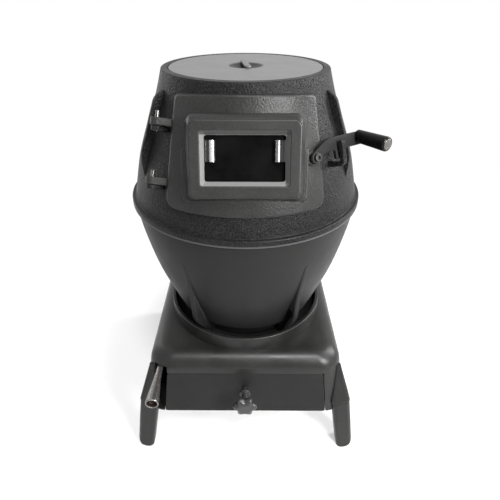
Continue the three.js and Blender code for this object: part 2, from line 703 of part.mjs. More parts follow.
/** A hand knob whose edge swells and draws in as a cosine of the angle, domed at its front. */
function starKnob() {
  const outline = new THREE.Shape();
  const steps = KNOB_LOBES * 5;
  for (let i = 0; i < steps; i += 1) {
    const angle = (i / steps) * 2 * Math.PI;
    const r = KNOB_R * (0.86 + 0.14 * Math.cos(KNOB_LOBES * angle));
    if (i === 0) outline.moveTo(r, 0);
    else outline.lineTo(r * Math.cos(angle), r * Math.sin(angle));
  }
  outline.closePath();
  const from = drawerFaceY + KNOB_STEM;
  const frame = alongFront(0, KNOB_Z);
  const body = slab(outline, from, from + KNOB_THICK, frame);
  const dome = bar(KNOB_R * 1.5, from - 1, from + KNOB_THICK + 1, frame, ROUND, KNOB_R * 0.74);
  const socket = bar(STEM_TAIL_R + FIT, from - PAST, from + STEM_SOCKET + FIT, frame);
  return body.intersect(dome).subtract(socket);
}

piece('star_knob', starKnob(), CAST_SMOOTH);

// ---------------------------------------------------------------- shaker: rod, crank arm and grate

/** A round rod with a flared hand end in front and a peg that stands up under the grate's arm. */
function shakerRod() {
  const frame = alongFront(ROD_X, ROD_Z);
  const shaft = bar(ROD_R, -ROD_BACK_Y, -ROD_HANDLE_ROOT_Y + 1, frame);
  const lead = -ROD_HANDLE_END_Y - 2;
  const handle = bar(ROD_R, -ROD_HANDLE_ROOT_Y, lead, frame, SIDES, ROD_HANDLE_R);
  const chamfer = bar(ROD_HANDLE_R, lead, -ROD_HANDLE_END_Y, frame, SIDES, ROD_HANDLE_R - 1.8);
  const peg = bar(PEG_R, ROD_Z, ARM_Z + ARM_THICK + 2, new THREE.Matrix4().makeTranslation(ROD_X, 0, 0));
  return union(shaft, handle, chamfer, peg);
}

piece('shaker_rod', shakerRod(), STEEL);

/** A flat arm under the grate, forked round the rod's peg. */
function grateArm() {
  const shape = stadium([-ARM_REACH + ARM_WIDTH / 2, 0], [0, 0], ARM_WIDTH / 2);
  const hub = bar(ARM_HUB_R, ARM_Z, ARM_Z + ARM_THICK);
  const fork = stadium([-ARM_REACH - ARM_WIDTH, 0], [ROD_X + 5, 0], PEG_R + 0.7);
  const stud = bar(GRATE_STUD_R + FIT, ARM_Z - PAST, ARM_Z + ARM_THICK + PAST);
  const cut = slab(fork, ARM_Z - PAST, ARM_Z + ARM_THICK + PAST);
  return slab(shape, ARM_Z, ARM_Z + ARM_THICK).add(hub).subtract(cut).subtract(stud);
}

piece('grate_arm', grateArm(), DARK_STEEL);

const grateBottom = THROAT_LEDGE_Z + FIT + GRATE_LIFT;
const grateTop = grateBottom + GRATE_THICK;

/** A slotted disc that turns in its frame on a hub. */
function grate() {
  let body = bar(GRATE_R, grateBottom, grateTop, undefined, ROUND);
  const bridge = GRATE_HUB_R + GRATE_SLOT;
  for (let i = 0; i < GRATE_SLOTS; i += 1) {
    const x = (i - (GRATE_SLOTS - 1) / 2) * GRATE_PITCH;
    const reach = Math.sqrt((GRATE_R - GRATE_RIM) ** 2 - x ** 2) - GRATE_SLOT / 2;
    const split = [[bridge, reach], [-reach, -bridge]];
    for (const [from, to] of Math.abs(x) < bridge ? split : [[-reach, reach]]) {
      const slot = stadium([x, from], [x, to], GRATE_SLOT / 2);
      body = body.subtract(slab(slot, grateBottom - PAST, grateTop + PAST, undefined, 2));
    }
  }
  const hub = bar(GRATE_HUB_R, ARM_Z + ARM_THICK + FIT, grateBottom + 1);
  const stud = bar(GRATE_STUD_R, ARM_Z - GRATE_NUT_THICK - 1, ARM_Z + ARM_THICK + 1);
  return union(body, hub, stud);
}

piece('grate', grate(), CAST_ROUGH);

const grateNut = nut(GRATE_NUT_R, ARM_Z - GRATE_NUT_THICK, ARM_Z - FIT, GRATE_STUD_R + FIT);
piece('grate_nut', grateNut, STEEL);

/** A ring of L section that seats in the bowl's throat and carries the grate's edge. */
function grateFrame() {
  const [inner, outer, step] = [THROAT_R - THROAT_LEDGE - GRATE_RIM, THROAT_R - FIT, GRATE_R + GRATE_PLAY];
  const [under, seat] = [THROAT_LEDGE_Z + FIT, grateBottom - FIT];
  return revolve([
    [inner, under], [outer, under], [outer, THROAT_TOP_Z], [step, THROAT_TOP_Z], [step, seat], [inner, seat],
  ]);
}

piece('grate_frame', grateFrame(), CAST_ROUGH);

// ---------------------------------------------------------------- fire bowl

const bowlCurve = overHeight(BOWL_RADII, BOWL_FOOT_Z, BOWL_TOP_Z);

/** A gusset that stands on the collar's floor and runs up the bowl's side. */
function bowlRib(azimuth) {
  const foot = COLLAR_FLOOR_Z + FIT;
  const bend = (RIB_TOP_Z + BOWL_FOOT_Z) / 2;
  const topR = radiusAt(bowlCurve, RIB_TOP_Z);
  const shape = new THREE.Shape();
  shape.moveTo(BOWL_FOOT_R - RIB_SUNK, foot);
  shape.lineTo(RIB_FOOT_R, foot);
  shape.lineTo(RIB_FOOT_R, foot + RIB_TOE);
  shape.quadraticCurveTo(RIB_REACH, RIB_KNEE_Z - RIB_KNEE_EASE, RIB_REACH, RIB_KNEE_Z);
  shape.lineTo(topR + FIT, RIB_TOP_Z);
  shape.lineTo(topR - RIB_SUNK, RIB_TOP_Z);
  shape.lineTo(radiusAt(bowlCurve, bend) - RIB_SUNK, bend);
  shape.lineTo(radiusAt(bowlCurve, BOWL_FOOT_Z) - RIB_SUNK, BOWL_FOOT_Z);
  shape.lineTo(BOWL_FOOT_R - RIB_SUNK, THROAT_LEDGE_Z);
  shape.closePath();
  return radialPlate(shape, RIB_THICK, azimuth);
}

function fireBowl() {
  const inner = bowlCurve.map(([r, z]) => [r - BOWL_WALL, z]).reverse().slice(0, -1);
  const foot = COLLAR_FLOOR_Z + FIT;
  const footInner = BOWL_FOOT_R - BOWL_FOOT_WALL;
  const curveFoot = bowlCurve[bowlCurve.length - 1];
  const neck = swept(curveFoot, [BOWL_FOOT_R, BOWL_FOOT_Z], [BOWL_FOOT_R, THROAT_LEDGE_Z]);
  const [ledgeR, ledgeUnder] = [THROAT_R - THROAT_LEDGE, THROAT_LEDGE_Z - BOWL_WALL / 2];
  const spigotTop = BOWL_TOP_Z + SPIGOT_RISE;
  const shell = revolve([
    ...smooth(bowlCurve), ...neck.slice(1), [BOWL_FOOT_R, foot], [footInner, foot], [footInner, ledgeUnder],
    [ledgeR, ledgeUnder], [ledgeR, THROAT_LEDGE_Z], [THROAT_R, THROAT_LEDGE_Z], [THROAT_R, THROAT_TOP_Z],
    [THROAT_R + BOWL_WALL, THROAT_TOP_Z + 3], ...inner,
    [SPIGOT_R - SPIGOT_WALL, BOWL_TOP_Z - 2 * SPIGOT_WALL], [SPIGOT_R - SPIGOT_WALL, spigotTop],
    [SPIGOT_R, spigotTop], [SPIGOT_R, BOWL_TOP_Z],
  ]);
  return union(shell, ...RIB_AZIMUTHS.map(bowlRib));
}

piece('fire_bowl', fireBowl(), CAST_SMOOTH);

const sealTop = BOWL_TOP_Z + FIT + SEAL_THICK;
const barrelBottom = sealTop + FIT;
const barrelCurve = overHeight(BARREL_RADII, BARREL_FOOT_Z, BARREL_TOP_Z);
const [barrelFootR] = barrelCurve[barrelCurve.length - 1];
const sealInner = SPIGOT_R + 1;

piece('belly_seal', revolve([
  [sealInner, BOWL_TOP_Z + FIT], [barrelFootR, BOWL_TOP_Z + FIT], [barrelFootR, sealTop], [sealInner, sealTop],
]), ROPE);

// ---------------------------------------------------------------- barrel

const lidBottom = BARREL_TOP_Z - LID_THICK;
const rebateR = barrelCurve[0][0] - RIM_WIDTH;
const ledgeBottom = lidBottom - FIT - LID_LEDGE_THICK;

/** The barrel's outer curve, moved out by `offset`, from its top to its foot. */
const barrelSkin = (offset = 0) => smooth(barrelCurve).map(([r, z]) => [r + offset, z]);

/** A solid bell that fills the barrel's outer curve, moved out by `offset`. */
function barrelFill(offset) {
  const skin = barrelSkin(offset);
  const foot = skin[skin.length - 1];
  const [top, bottom] = [BARREL_TOP_Z + PAST, BARREL_FOOT_Z - PAST];
  return revolve([[0, top], [skin[0][0], top], ...skin, [foot[0], bottom], [0, bottom]]);
}

/** The door's front view, moved in by `inset`. */
function doorOutline(inset) {
  const slope = (DOOR_HALF_BOTTOM - DOOR_HALF_TOP) / (DOOR_TOP_Z - DOOR_BOTTOM_Z);
  const [low, high] = [DOOR_BOTTOM_Z + inset, DOOR_TOP_Z - inset];
  const half = (z) => DOOR_HALF_BOTTOM - slope * (z - DOOR_BOTTOM_Z) - inset;
  const bowed = [-1, -0.5, 0, 0.5, 1].map((part) => [-part * half(high), high - DOOR_BOW * part ** 2]);
  return rounded([[-half(low), low], [half(low), low], ...bowed], Math.max(DOOR_CORNER - inset / 2, 6));
}

/** A point on the barrel at an azimuth and height, `offset` outside its curve. */
function onBarrel(azimuth, z, offset = 0) {
  const r = radiusAt(barrelCurve, z) + offset;
  return [r * Math.sin(degrees(azimuth)), -r * Math.cos(degrees(azimuth)), z];
}

const upperMark = onBarrel(...HINGE_UPPER);
const lowerMark = onBarrel(...HINGE_LOWER);
const hingeAxis = new THREE.Vector3(...upperMark).sub(new THREE.Vector3(...lowerMark)).normalize();

/** Axes of a hinge: Z up the pin, X to the right, Y to the back, from a marked point on the pin. */
function hingeFrame(mark) {
  const right = new THREE.Vector3(1, 0, 0).addScaledVector(hingeAxis, -hingeAxis.x).normalize();
  const back = new THREE.Vector3().crossVectors(hingeAxis, right);
  return new THREE.Matrix4().makeBasis(right, back, hingeAxis).setPosition(...mark);
}

const pinHole = (mark) => bar(PIN_R + FIT, -PIN_LENGTH - PAST, PIN_ABOVE + PAST, hingeFrame(mark), 12);

/** The barrel's ear under a door lug: it runs from the pin back into the wall. */
function barrelLug(mark) {
  const top = -LUG_DROP - LUG_THICK - FIT;
  const shape = stadium([0, 0], [LUG_SUNK, LUG_SUNK], BARREL_LUG_R);
  return slab(shape, top - BARREL_LUG_THICK, top, hingeFrame(mark));
}

/** An upright fin that fades into the wall at its foot. */
function fin(azimuth) {
  const outline = new THREE.Shape();
  const points = overHeight(FIN_RADII, BARREL_FOOT_Z, BARREL_TOP_Z);
  const inner = points.map(([, z]) => [radiusAt(barrelCurve, z) - BARREL_WALL / 2, z]).reverse();
  [...points, ...inner].forEach(([r, z], i) => (i === 0 ? outline.moveTo(r, z) : outline.lineTo(r, z)));
  outline.closePath();
  return radialPlate(outline, FIN_THICK, azimuth);
}

/** The keeper: a hook that comes out under the handle and rises in front of it. */
function keeperHook() {
  const origin = onBarrel(HOOK_AZIMUTH, LATCH_Z - 1);
  const face = facing(origin, HOOK_AZIMUTH, LATCH_LEAN);
  const [inner, outer] = [HOOK_THROAT, HOOK_THROAT + HOOK_BAR];
  const low = HOOK_FLOOR - HOOK_BAR;
  const shape = new THREE.Shape();
  shape.moveTo(-HOOK_SUNK, low);
  shape.lineTo(outer - 17, low);
  shape.quadraticCurveTo(outer - 4, low, outer - 0.5, low + 14);
  shape.lineTo(outer + 2, HOOK_TOP - 3);
  shape.quadraticCurveTo(inner + HOOK_BAR / 2 + 1, HOOK_TOP + 3, inner + 1, HOOK_TOP - 3);
  shape.lineTo(inner, HOOK_FLOOR + 4);
  shape.quadraticCurveTo(inner, HOOK_FLOOR, inner - 4, HOOK_FLOOR);
  shape.lineTo(7, HOOK_FLOOR);
  shape.lineTo(-HOOK_SUNK, HOOK_FLOOR + 4);
  shape.closePath();
  // the outline's X runs out of the wall and its Y up it, so its plane is turned about the face's Y
  const across = new THREE.Matrix4().makeRotationY(-Math.PI / 2);
  return slab(shape, -HOOK_THICK / 2, HOOK_THICK / 2, face.clone().multiply(across));
}

/** Axes of the flue: Z runs out to the back. */
const flueFrame = new THREE.Matrix4().makeRotationX(-Math.PI / 2).setPosition(0, 0, FLUE_Z);

function flueBolt(i) {
  const angle = Math.PI / 2 + (i / FLUE_BOLTS) * 2 * Math.PI;
  const [x, y] = [FLUE_BOLT_CIRCLE_R * Math.cos(angle), FLUE_BOLT_CIRCLE_R * Math.sin(angle)];
  return flueFrame.clone().multiply(new THREE.Matrix4().makeTranslation(x, y, 0));
}

function upperBarrel() {
  const inner = barrelCurve.slice(1).map(([r, z]) => [r - BARREL_WALL, z]).reverse();
  const bead = swept([barrelFootR + 1, BEAD_TOP_Z], [BEAD_R, BEAD_TOP_Z], [BEAD_R, BEAD_TOP_Z - BEAD_EASE], 2);
  const outside = revolve([
    [0, BARREL_TOP_Z], ...barrelSkin().slice(0, -1), ...bead, [BEAD_R, barrelBottom], [0, barrelBottom],
  ]);
  const [top, bottom] = [BARREL_TOP_Z + PAST, barrelBottom - PAST];
  const hollow = revolve([
    [0, bottom], [barrelFootR - BARREL_WALL + 2, bottom], ...inner,
    [rebateR - LID_LEDGE, ledgeBottom], [rebateR - LID_LEDGE, lidBottom - FIT],
    [rebateR, lidBottom - FIT], [rebateR, top], [0, top],
  ]);
  const seat = bar(FLUE_FLANGE_R, FLUE_SEAT_Y / 2, FLUE_SEAT_Y, flueFrame, ROUND);
  const lugs = union(barrelLug(upperMark), barrelLug(lowerMark), keeperHook());
  let body = union(outside, fin(-FIN_AZIMUTH), fin(FIN_AZIMUTH), lugs, seat);
  body = body.subtract(hollow).subtract(frontPrism(doorOutline(DOOR_LAP)));
  body = body.subtract(bar(FLUE_BORE_R, FLUE_SEAT_Y / 3, FLUE_SEAT_Y + PAST, flueFrame, ROUND));
  for (let i = 0; i < FLUE_BOLTS; i += 1) {
    const from = FLUE_SEAT_Y - FLUE_BOLT_DEPTH - 1;
    body = body.subtract(bar(FLUE_BOLT_R + FIT, from, FLUE_SEAT_Y + PAST, flueBolt(i), 10));
  }
  return body.subtract(pinHole(upperMark)).subtract(pinHole(lowerMark));
}

piece('upper_barrel', upperBarrel(), CAST_ROUGH);

// ---------------------------------------------------------------- flue collar

function flueCollar() {
  const from = FLUE_SEAT_Y + FIT;
  const tube = bar(FLUE_BORE_R + FLUE_WALL, from, FLUE_END_Y, flueFrame, ROUND);
  const flange = bar(FLUE_FLANGE_R, from, from + FLUE_FLANGE_THICK, flueFrame, ROUND);
  const bore = bar(FLUE_BORE_R, from - PAST, FLUE_END_Y + PAST, flueFrame, ROUND);
  let body = union(tube, flange).subtract(bore);
  for (let i = 0; i < FLUE_BOLTS; i += 1) {
    body = body.subtract(bar(FLUE_BOLT_R + FIT, from - PAST, from + FLUE_FLANGE_THICK + PAST, flueBolt(i), 10));
  }
  return body;
}

piece('flue_collar', flueCollar(), CAST_ROUGH);

for (let i = 0; i < FLUE_BOLTS; i += 1) {
  const seat = FLUE_SEAT_Y + FIT + FLUE_FLANGE_THICK + FIT;
  const shank = bar(FLUE_BOLT_R, FLUE_SEAT_Y - FLUE_BOLT_DEPTH, seat + 1, flueBolt(i), 10);
  const head = bar(FLUE_BOLT_HEAD_R, seat, seat + FLUE_BOLT_HEAD, flueBolt(i), 6);
  piece(`flue_bolt_${i + 1}`, union(shank, head), STEEL);
}

// ---------------------------------------------------------------- lid

function lid() {
  const top = BARREL_TOP_Z;
  const r = rebateR - LID_GAP;
  const dish = [];
  const steps = 3;
  for (let i = 0; i <= steps; i += 1) {
    const part = i / steps;
    dish.push([SOCKET_R * part, top - SOCKET_DEPTH * (1 - part ** 2.5)]);
  }
  return revolve([
    ...dish, [r - 1, top], [r, top - 1], [r, lidBottom], [SOCKET_R + SOCKET_WALL + 4, lidBottom],
    [SOCKET_R + SOCKET_WALL - 3, top - SOCKET_DEPTH - SOCKET_WALL], [0, top - SOCKET_DEPTH - SOCKET_WALL],
  ]);
}

piece('lid', lid(), CAST_LID);

const liftBarFrame = new THREE.Matrix4().makeRotationZ(Math.PI / 2 + degrees(LIFT_BAR_TURN));
const halfBar = LIFT_BAR_LENGTH / 2 - LIFT_BAR_WIDTH / 2;
piece('lid_lift_bar', slab(
  stadium([-halfBar, 0], [halfBar, 0], LIFT_BAR_WIDTH / 2),
  BARREL_TOP_Z + FIT, BARREL_TOP_Z + FIT + LIFT_BAR_THICK, liftBarFrame,
), CAST_LID);

// ---------------------------------------------------------------- door

const boxFrame = facing(onBarrel(0, BOX_CENTRE_Z, BOX_PROUD), 0, DOOR_LEAN);

/** Corners of a rounded rectangle on the box's face, at `out` in front of it. */
function boxRing(half, low, high, corner, out) {
  const middle = (low + high) / 2;
  return rectangleRing(half, (high - low) / 2, corner, out).map((p) => p.setY(p.y + middle));
}

/** A drafted block from the box's face to `depth` behind it. */
function drafted(half, low, high, corner, front, depth, draft) {
  const grow = draft * depth;
  const points = [
    ...boxRing(half, low, high, corner, front),
    ...boxRing(half + grow, low - grow, high + grow, corner + grow / 2, front - depth),
  ];
  return solid(new ConvexGeometry(points).applyMatrix4(boxFrame));
}

const glassHalf = WINDOW_HALF_WIDTH - WINDOW_BEVEL;
const glassLow = WINDOW_LOW + WINDOW_BEVEL;
const glassHigh = WINDOW_HIGH - WINDOW_BEVEL;
const glassFront = -WINDOW_BEVEL - CLIP_SHEET - GLASS_DROP;
const glassBack = glassFront - GLASS_THICK;
const lipBack = glassBack - FIT - WINDOW_LIP_THICK;

/** The door's ear: it narrows from the pin to the plate's edge. */
function doorLug(mark) {
  const points = [];
  for (const z of [-LUG_DROP - LUG_THICK, -LUG_DROP]) {
    points.push(...circle(0, 0, LUG_R, z), ...circle(...LUG_ROOT, LUG_ROOT_R, z, 8));
  }
  return solid(new ConvexGeometry(points).applyMatrix4(hingeFrame(mark)));
}

const handleBack = PIVOT_BOSS_RISE + FIT;
const handleFront = handleBack + HANDLE_PLATE;
const latchFrame = facing(onBarrel(LATCH_AZIMUTH, LATCH_Z, DOOR_GAP + DOOR_PLATE), LATCH_AZIMUTH, LATCH_LEAN);
const pivotFrame = latchFrame.clone().multiply(new THREE.Matrix4().makeTranslation(PIVOT_SIDE, 0, 0));

/** A band that follows the barrel, between two offsets from its curve. */
function barrelBand(from, to) {
  return revolve([...barrelSkin(to), ...barrelSkin(from).reverse()]);
}

/** The box round the window: drafted walls, of which the top one flares to a knee. */
function windowBox() {
  const points = [0, BOX_KNEE, BOX_DEPTH].flatMap((depth) => {
    const grow = BOX_DRAFT * depth;
    const high = BOX_HIGH + (BOX_TOP_FLARE * Math.min(depth, BOX_KNEE)) / BOX_KNEE;
    return boxRing(BOX_HALF_WIDTH + grow, BOX_LOW - grow, high, BOX_CORNER, -depth);
  });
  return solid(new ConvexGeometry(points).applyMatrix4(boxFrame));
}

/** The window's cuts: its bevel, the glass's pocket, the sight behind the lip, and the hollow. */
function windowCuts() {
  const depth = lipBack - BOX_DEPTH;
  const bevel = drafted(glassHalf, glassLow, glassHigh, WINDOW_CORNER, -WINDOW_BEVEL, -WINDOW_BEVEL - 1, -1);
  const pocket = drafted(glassHalf, glassLow, glassHigh, WINDOW_CORNER, 0, -glassBack + FIT, 0);
  const [half, low, high] = [glassHalf - WINDOW_LIP, glassLow + WINDOW_LIP, glassHigh - WINDOW_LIP];
  const sight = drafted(half, low, high, WINDOW_CORNER, glassBack + 1, -depth, 0);
  const [hollowLow, hollowHigh] = [BOX_LOW + BOX_WALL, BOX_HIGH - BOX_WALL];
  const hollow = drafted(
    BOX_HALF_WIDTH - BOX_WALL, hollowLow, hollowHigh, BOX_CORNER / 2, lipBack, BOX_DEPTH, BOX_DRAFT / 2,
  );
  return union(bevel, pocket, sight, hollow);
}

/** A band round the door's edge, between two depths in the plate and two insets of the outline. */
function doorBand(from, to, inset, width) {
  const outline = frontPrism(doorOutline(inset)).subtract(frontPrism(doorOutline(inset + width)));
  return barrelBand(DOOR_GAP + from, DOOR_GAP + to).intersect(outline);
}

function door() {
  const plate = barrelBand(DOOR_GAP, DOOR_GAP + DOOR_PLATE).intersect(frontPrism(doorOutline(0)));
  const [padHalf, padDepth] = [BOX_HALF_WIDTH + PAD_MARGIN, BOX_DEPTH - PAD_STEP];
  const pad = drafted(padHalf, PAD_LOW, PAD_HIGH, BOX_CORNER, -PAD_STEP, padDepth, PAD_DRAFT);
  const bossFoot = PIVOT_BOSS_R + PIVOT_BOSS_SPREAD;
  const boss = bar(bossFoot, -DOOR_PLATE - 2, PIVOT_BOSS_RISE, pivotFrame, 20, PIVOT_BOSS_R);
  const lugs = union(doorLug(upperMark), doorLug(lowerMark));
  let body = union(windowBox(), pad, boss, lugs).subtract(barrelFill(DOOR_GAP)).add(plate);
  body = body.subtract(windowCuts()).subtract(doorBand(-1, ROPE_DEPTH, ROPE_INSET, ROPE_WIDTH));
  const eyeRoom = bar(HANDLE_EYE_R + PIVOT_ROOM, PIVOT_BOSS_RISE, handleFront + HANDLE_EYE_R, pivotFrame, 20);
  body = body.subtract(eyeRoom);
  body = body.subtract(bar(PIVOT_BOLT_R + FIT, -PIVOT_DEPTH - 1, PIVOT_BOSS_RISE + PAST, pivotFrame));
  return body.subtract(pinHole(upperMark)).subtract(pinHole(lowerMark));
}

piece('door', door(), CAST_SMOOTH);
piece('door_rope_seal', doorBand(FIT, ROPE_DEPTH - FIT, ROPE_INSET + FIT, ROPE_WIDTH - 2 * FIT), ROPE);

piece('door_glass', drafted(
  glassHalf - FIT, glassLow + FIT, glassHigh - FIT, WINDOW_CORNER, glassFront, GLASS_THICK, 0,
), GLASS);

/** A bent strip that bears on the glass, stands against the pocket's side and ends in a roll. */
function glassClip(side) {
  const wall = glassHalf - FIT;
  const inner = wall - CLIP_REACH;
  const from = glassFront + FIT;
  const base = block([inner + CLIP_ROLL / 2, CLIP_LOW, from], [wall, CLIP_HIGH, from + CLIP_SHEET]);
  const rise = block([wall - CLIP_SHEET, CLIP_LOW + 1, from], [wall, CLIP_HIGH - 1, -WINDOW_BEVEL]);
  const turn = new THREE.Matrix4().makeRotationX(-Math.PI / 2);
  turn.setPosition(inner + CLIP_ROLL / 2, 0, from + CLIP_ROLL / 2);
  const roll = bar(CLIP_ROLL / 2, CLIP_LOW, CLIP_HIGH, turn);
  const mirror = new THREE.Matrix4().makeScale(side, 1, 1);
  return solid(geometryOf(union(base, rise, roll)).applyMatrix4(mirror).applyMatrix4(boxFrame));
}

piece('glass_clip_left', glassClip(-1), STEEL);
piece('glass_clip_right', glassClip(1), STEEL);

/** A rolled spring pin: a tube with a slot down its front. */
function hingePin(mark) {
  const shape = new THREE.Shape();
  const half = Math.asin(PIN_SLOT / 2 / PIN_R);
  shape.absarc(0, 0, PIN_R, -Math.PI / 2 + half, (3 * Math.PI) / 2 - half, false);
  shape.absarc(0, 0, PIN_BORE_R, (3 * Math.PI) / 2 - half, -Math.PI / 2 + half, true);
  shape.closePath();
  return slab(shape, PIN_ABOVE - PIN_LENGTH, PIN_ABOVE, hingeFrame(mark), 12);
}

piece('hinge_pin_upper', hingePin(upperMark), STEEL);
piece('hinge_pin_lower', hingePin(lowerMark), STEEL);

// ---------------------------------------------------------------- latch handle

const gripDirection = new THREE.Vector3()
  .setFromSphericalCoords(1, degrees(90 - GRIP_RISE), degrees(180 - GRIP_AZIMUTH));
gripDirection.set(gripDirection.x, gripDirection.z, gripDirection.y);

/** Axes of the grip: Z runs out of the arm. */
function gripAxes() {
  const across = new THREE.Vector3(0, 0, 1).cross(gripDirection).normalize();
  const up = new THREE.Vector3().crossVectors(gripDirection, across);
  const root = new THREE.Vector3(HANDLE_REACH - GRIP_INSET, GRIP_ROOT_V, (handleBack + handleFront) / 2);
  return new THREE.Matrix4().makeBasis(across, up, gripDirection).setPosition(root.applyMatrix4(latchFrame));
}

const gripFrame = gripAxes();

function handleArm() {
  const x = PIVOT_SIDE;
  const outline = rounded([
    [x - 4, 6], [17.5, HANDLE_HIGH], [HANDLE_REACH, HANDLE_HIGH], [HANDLE_REACH, HANDLE_LOW],
    [TOOTH_TO, HANDLE_LOW], [TOOTH_TO, TOOTH_LOW], [TOOTH_FROM, TOOTH_LOW], [TOOTH_FROM, HANDLE_LOW],
    [13, HANDLE_LOW], [x + 6, -4],
  ], HANDLE_EDGE);
  const plate = slab(outline, handleBack, handleFront, latchFrame, 2);
  const eye = bar(HANDLE_EYE_R, handleBack, handleFront, pivotFrame);
  const neck = bar(NECK_R, 0, NECK_LENGTH, gripFrame, 12);
  const hole = bar(PIVOT_BOLT_R + FIT, handleBack - PAST, handleFront + PAST, pivotFrame);
  return union(plate, eye, neck).subtract(hole);
}

piece('handle_arm', handleArm(), CAST_SMOOTH);

/** A smooth sleeve that swells towards its free end, with a seat for the end cap. */
function handleGrip() {
  const from = GRIP_START;
  const end = from + GRIP_LENGTH;
  const points = [
    [0, from], [GRIP_R - 1.6, from], [GRIP_R - 0.6, from + 1.5], [GRIP_R, (from + end) / 2],
    [GRIP_END_R, end - 5], [GRIP_END_R - 0.3, end - 2], [GRIP_END_R - 1.6, end - 0.4], [GRIP_END_R - 2.6, end],
    [0, end], [0, from],
  ].map(([r, z]) => new THREE.Vector2(r, z));
  const geometry = new THREE.LatheGeometry(points, 16).rotateX(Math.PI / 2).applyMatrix4(gripFrame);
  const bore = bar(NECK_R + FIT, from - PAST, NECK_LENGTH + FIT, gripFrame, 12);
  const seat = bar(GRIP_CAP_R + FIT, end - GRIP_CAP_SEAT, end + PAST, gripFrame, 16);
  const reach = 2 * GRIP_R;
  const low = [HANDLE_REACH - 2 * reach, -reach, handleBack - 2 * PAST];
  const clear = block(low, [HANDLE_REACH + reach, 2 * reach, handleFront + FIT], latchFrame);
  return solid(geometry).subtract(bore).subtract(seat).subtract(clear);
}

piece('handle_grip', handleGrip(), GRIP_FINISH);
const capSeat = GRIP_START + GRIP_LENGTH - GRIP_CAP_SEAT + FIT;
const cap = bar(GRIP_CAP_R, capSeat, capSeat + GRIP_CAP_SEAT, gripFrame, 16, GRIP_CAP_R - 0.6);
piece('handle_grip_cap', cap, STEEL);

const washerBack = handleFront + FIT;
const headBack = washerBack + PIVOT_WASHER_THICK + FIT;
const washer = bar(PIVOT_WASHER_R, washerBack, washerBack + PIVOT_WASHER_THICK, pivotFrame);
piece('handle_washer', washer.subtract(bar(PIVOT_BOLT_R + FIT, washerBack - 1, headBack, pivotFrame)), STEEL);

/** The pivot's bolt: a round head with a six-sided socket. */
function pivotBolt() {
  const headFront = headBack + PIVOT_HEAD_THICK;
  const shank = bar(PIVOT_BOLT_R, -PIVOT_DEPTH, headBack + 1, pivotFrame);
  const head = bar(PIVOT_HEAD_R, headBack, headFront, pivotFrame, SIDES, PIVOT_HEAD_R - 0.6);
  const socket = bar(PIVOT_SOCKET_R, headFront - PIVOT_SOCKET, headFront + 1, pivotFrame, 6);
  return union(shank, head).subtract(socket);
}

piece('handle_pivot_bolt', pivotBolt(), STEEL);

export default stove;
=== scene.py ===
"""Potbelly stove: the visual pieces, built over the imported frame.

Lengths in this file are millimetres unless a name says otherwise, and meshes are scaled to metres when
they are made. +Z is up, the stove's axis is X = Y = 0 and the door faces -Y. An azimuth is counted from
the front towards the right, in degrees.
"""

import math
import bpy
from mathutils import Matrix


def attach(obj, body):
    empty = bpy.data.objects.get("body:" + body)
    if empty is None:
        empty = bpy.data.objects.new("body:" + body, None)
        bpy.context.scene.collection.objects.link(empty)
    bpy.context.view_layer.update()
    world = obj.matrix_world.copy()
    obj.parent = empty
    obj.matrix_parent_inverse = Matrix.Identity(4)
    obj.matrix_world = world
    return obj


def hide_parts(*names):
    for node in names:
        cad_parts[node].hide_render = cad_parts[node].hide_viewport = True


bl_info = {
    "name": "Potbelly Stove",
    "version": (1, 0, 0),
    "blender": (4, 5, 0),
    "location": "3D View > Sidebar > Stove",
    "description": "Builds a cast-iron potbelly stove from computed surfaces",
    "category": "Add Mesh",
}

import bmesh
import bpy
import numpy as np

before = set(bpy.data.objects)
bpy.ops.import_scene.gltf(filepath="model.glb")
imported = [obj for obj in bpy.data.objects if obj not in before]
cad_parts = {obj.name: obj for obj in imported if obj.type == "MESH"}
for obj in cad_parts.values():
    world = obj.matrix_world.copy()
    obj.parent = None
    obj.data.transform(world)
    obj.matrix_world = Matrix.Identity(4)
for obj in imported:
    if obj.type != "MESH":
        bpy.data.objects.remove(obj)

MM = 0.001
FIT = 0.3            # between two pieces that fit
SEGMENTS = 192       # round the bowl and the barrel
ARC = 5              # points of a rounded edge
SHARP_ANGLE = 32     # degrees between two faces that keep a sharp edge
UP = np.array([0.0, 0.0, 1.0])

# ---------------------------------------------------------------- sizes shared by several pieces

BARREL_TOP_Z = 650
BOWL_TOP_Z = 450
BARREL_POINTS = (
    (122, BARREL_TOP_Z), (133, 615.04), (149.6, 574.93), (166.2, 530.03), (176.2, 489.92), (181.4, 466),
)
BOWL_POINTS = ((183.5, BOWL_TOP_Z), (176.4, 405), (161.6, 342), (140.4, 282), (128, 250))
CASTING_WALL = 9      # of the bowl and the barrel
BEAD_R = 188
BEAD_TOP_Z = 464
BEAD_LOW_Z = 452.4
FIN_POINTS = ((131, 629), (142, 621), (148, 608), (160, 577), (170, 550), (172, 535), (171, 514))
LID_R = 111.8
LID_BOTTOM_Z = 642
REBATE_R = 112.5
BASE_BOTTOM_Z = 88
BASE_FLOOR_Z = 92
BASE_TOP_Z = 213
BASE_HALF_X = 185
BASE_HALF_Y = 176
BASE_DRAFT_X = 0.152
BASE_DRAFT_Y = 0.096
BASE_WALL = 7
BASE_EDGE = 25        # the softening of the base's top edge
BASE_CORNER = 38
COLLAR_R = 144
COLLAR_WALL = 7
COLLAR_SEAT_Z = 220
COLLAR_TOP_Z = 240
ASH_HOLE_R = 102
LEGS = {"front_left": (-1, -1), "rear_left": (-1, 1), "front_right": (1, -1), "rear_right": (1, 1)}
LEG_TOP_Z = 104
LEG_WIDTH = 31
LEG_SPLAY = (0.17, 0.138)
LEG_FOOT = (192, 176.5)
LEG_RISE = 0.46
LEG_HEEL = 22         # the radius of the outer lower corner
LEG_HEEL_INSET = 0.35
BRACKET_GROW = 1.6
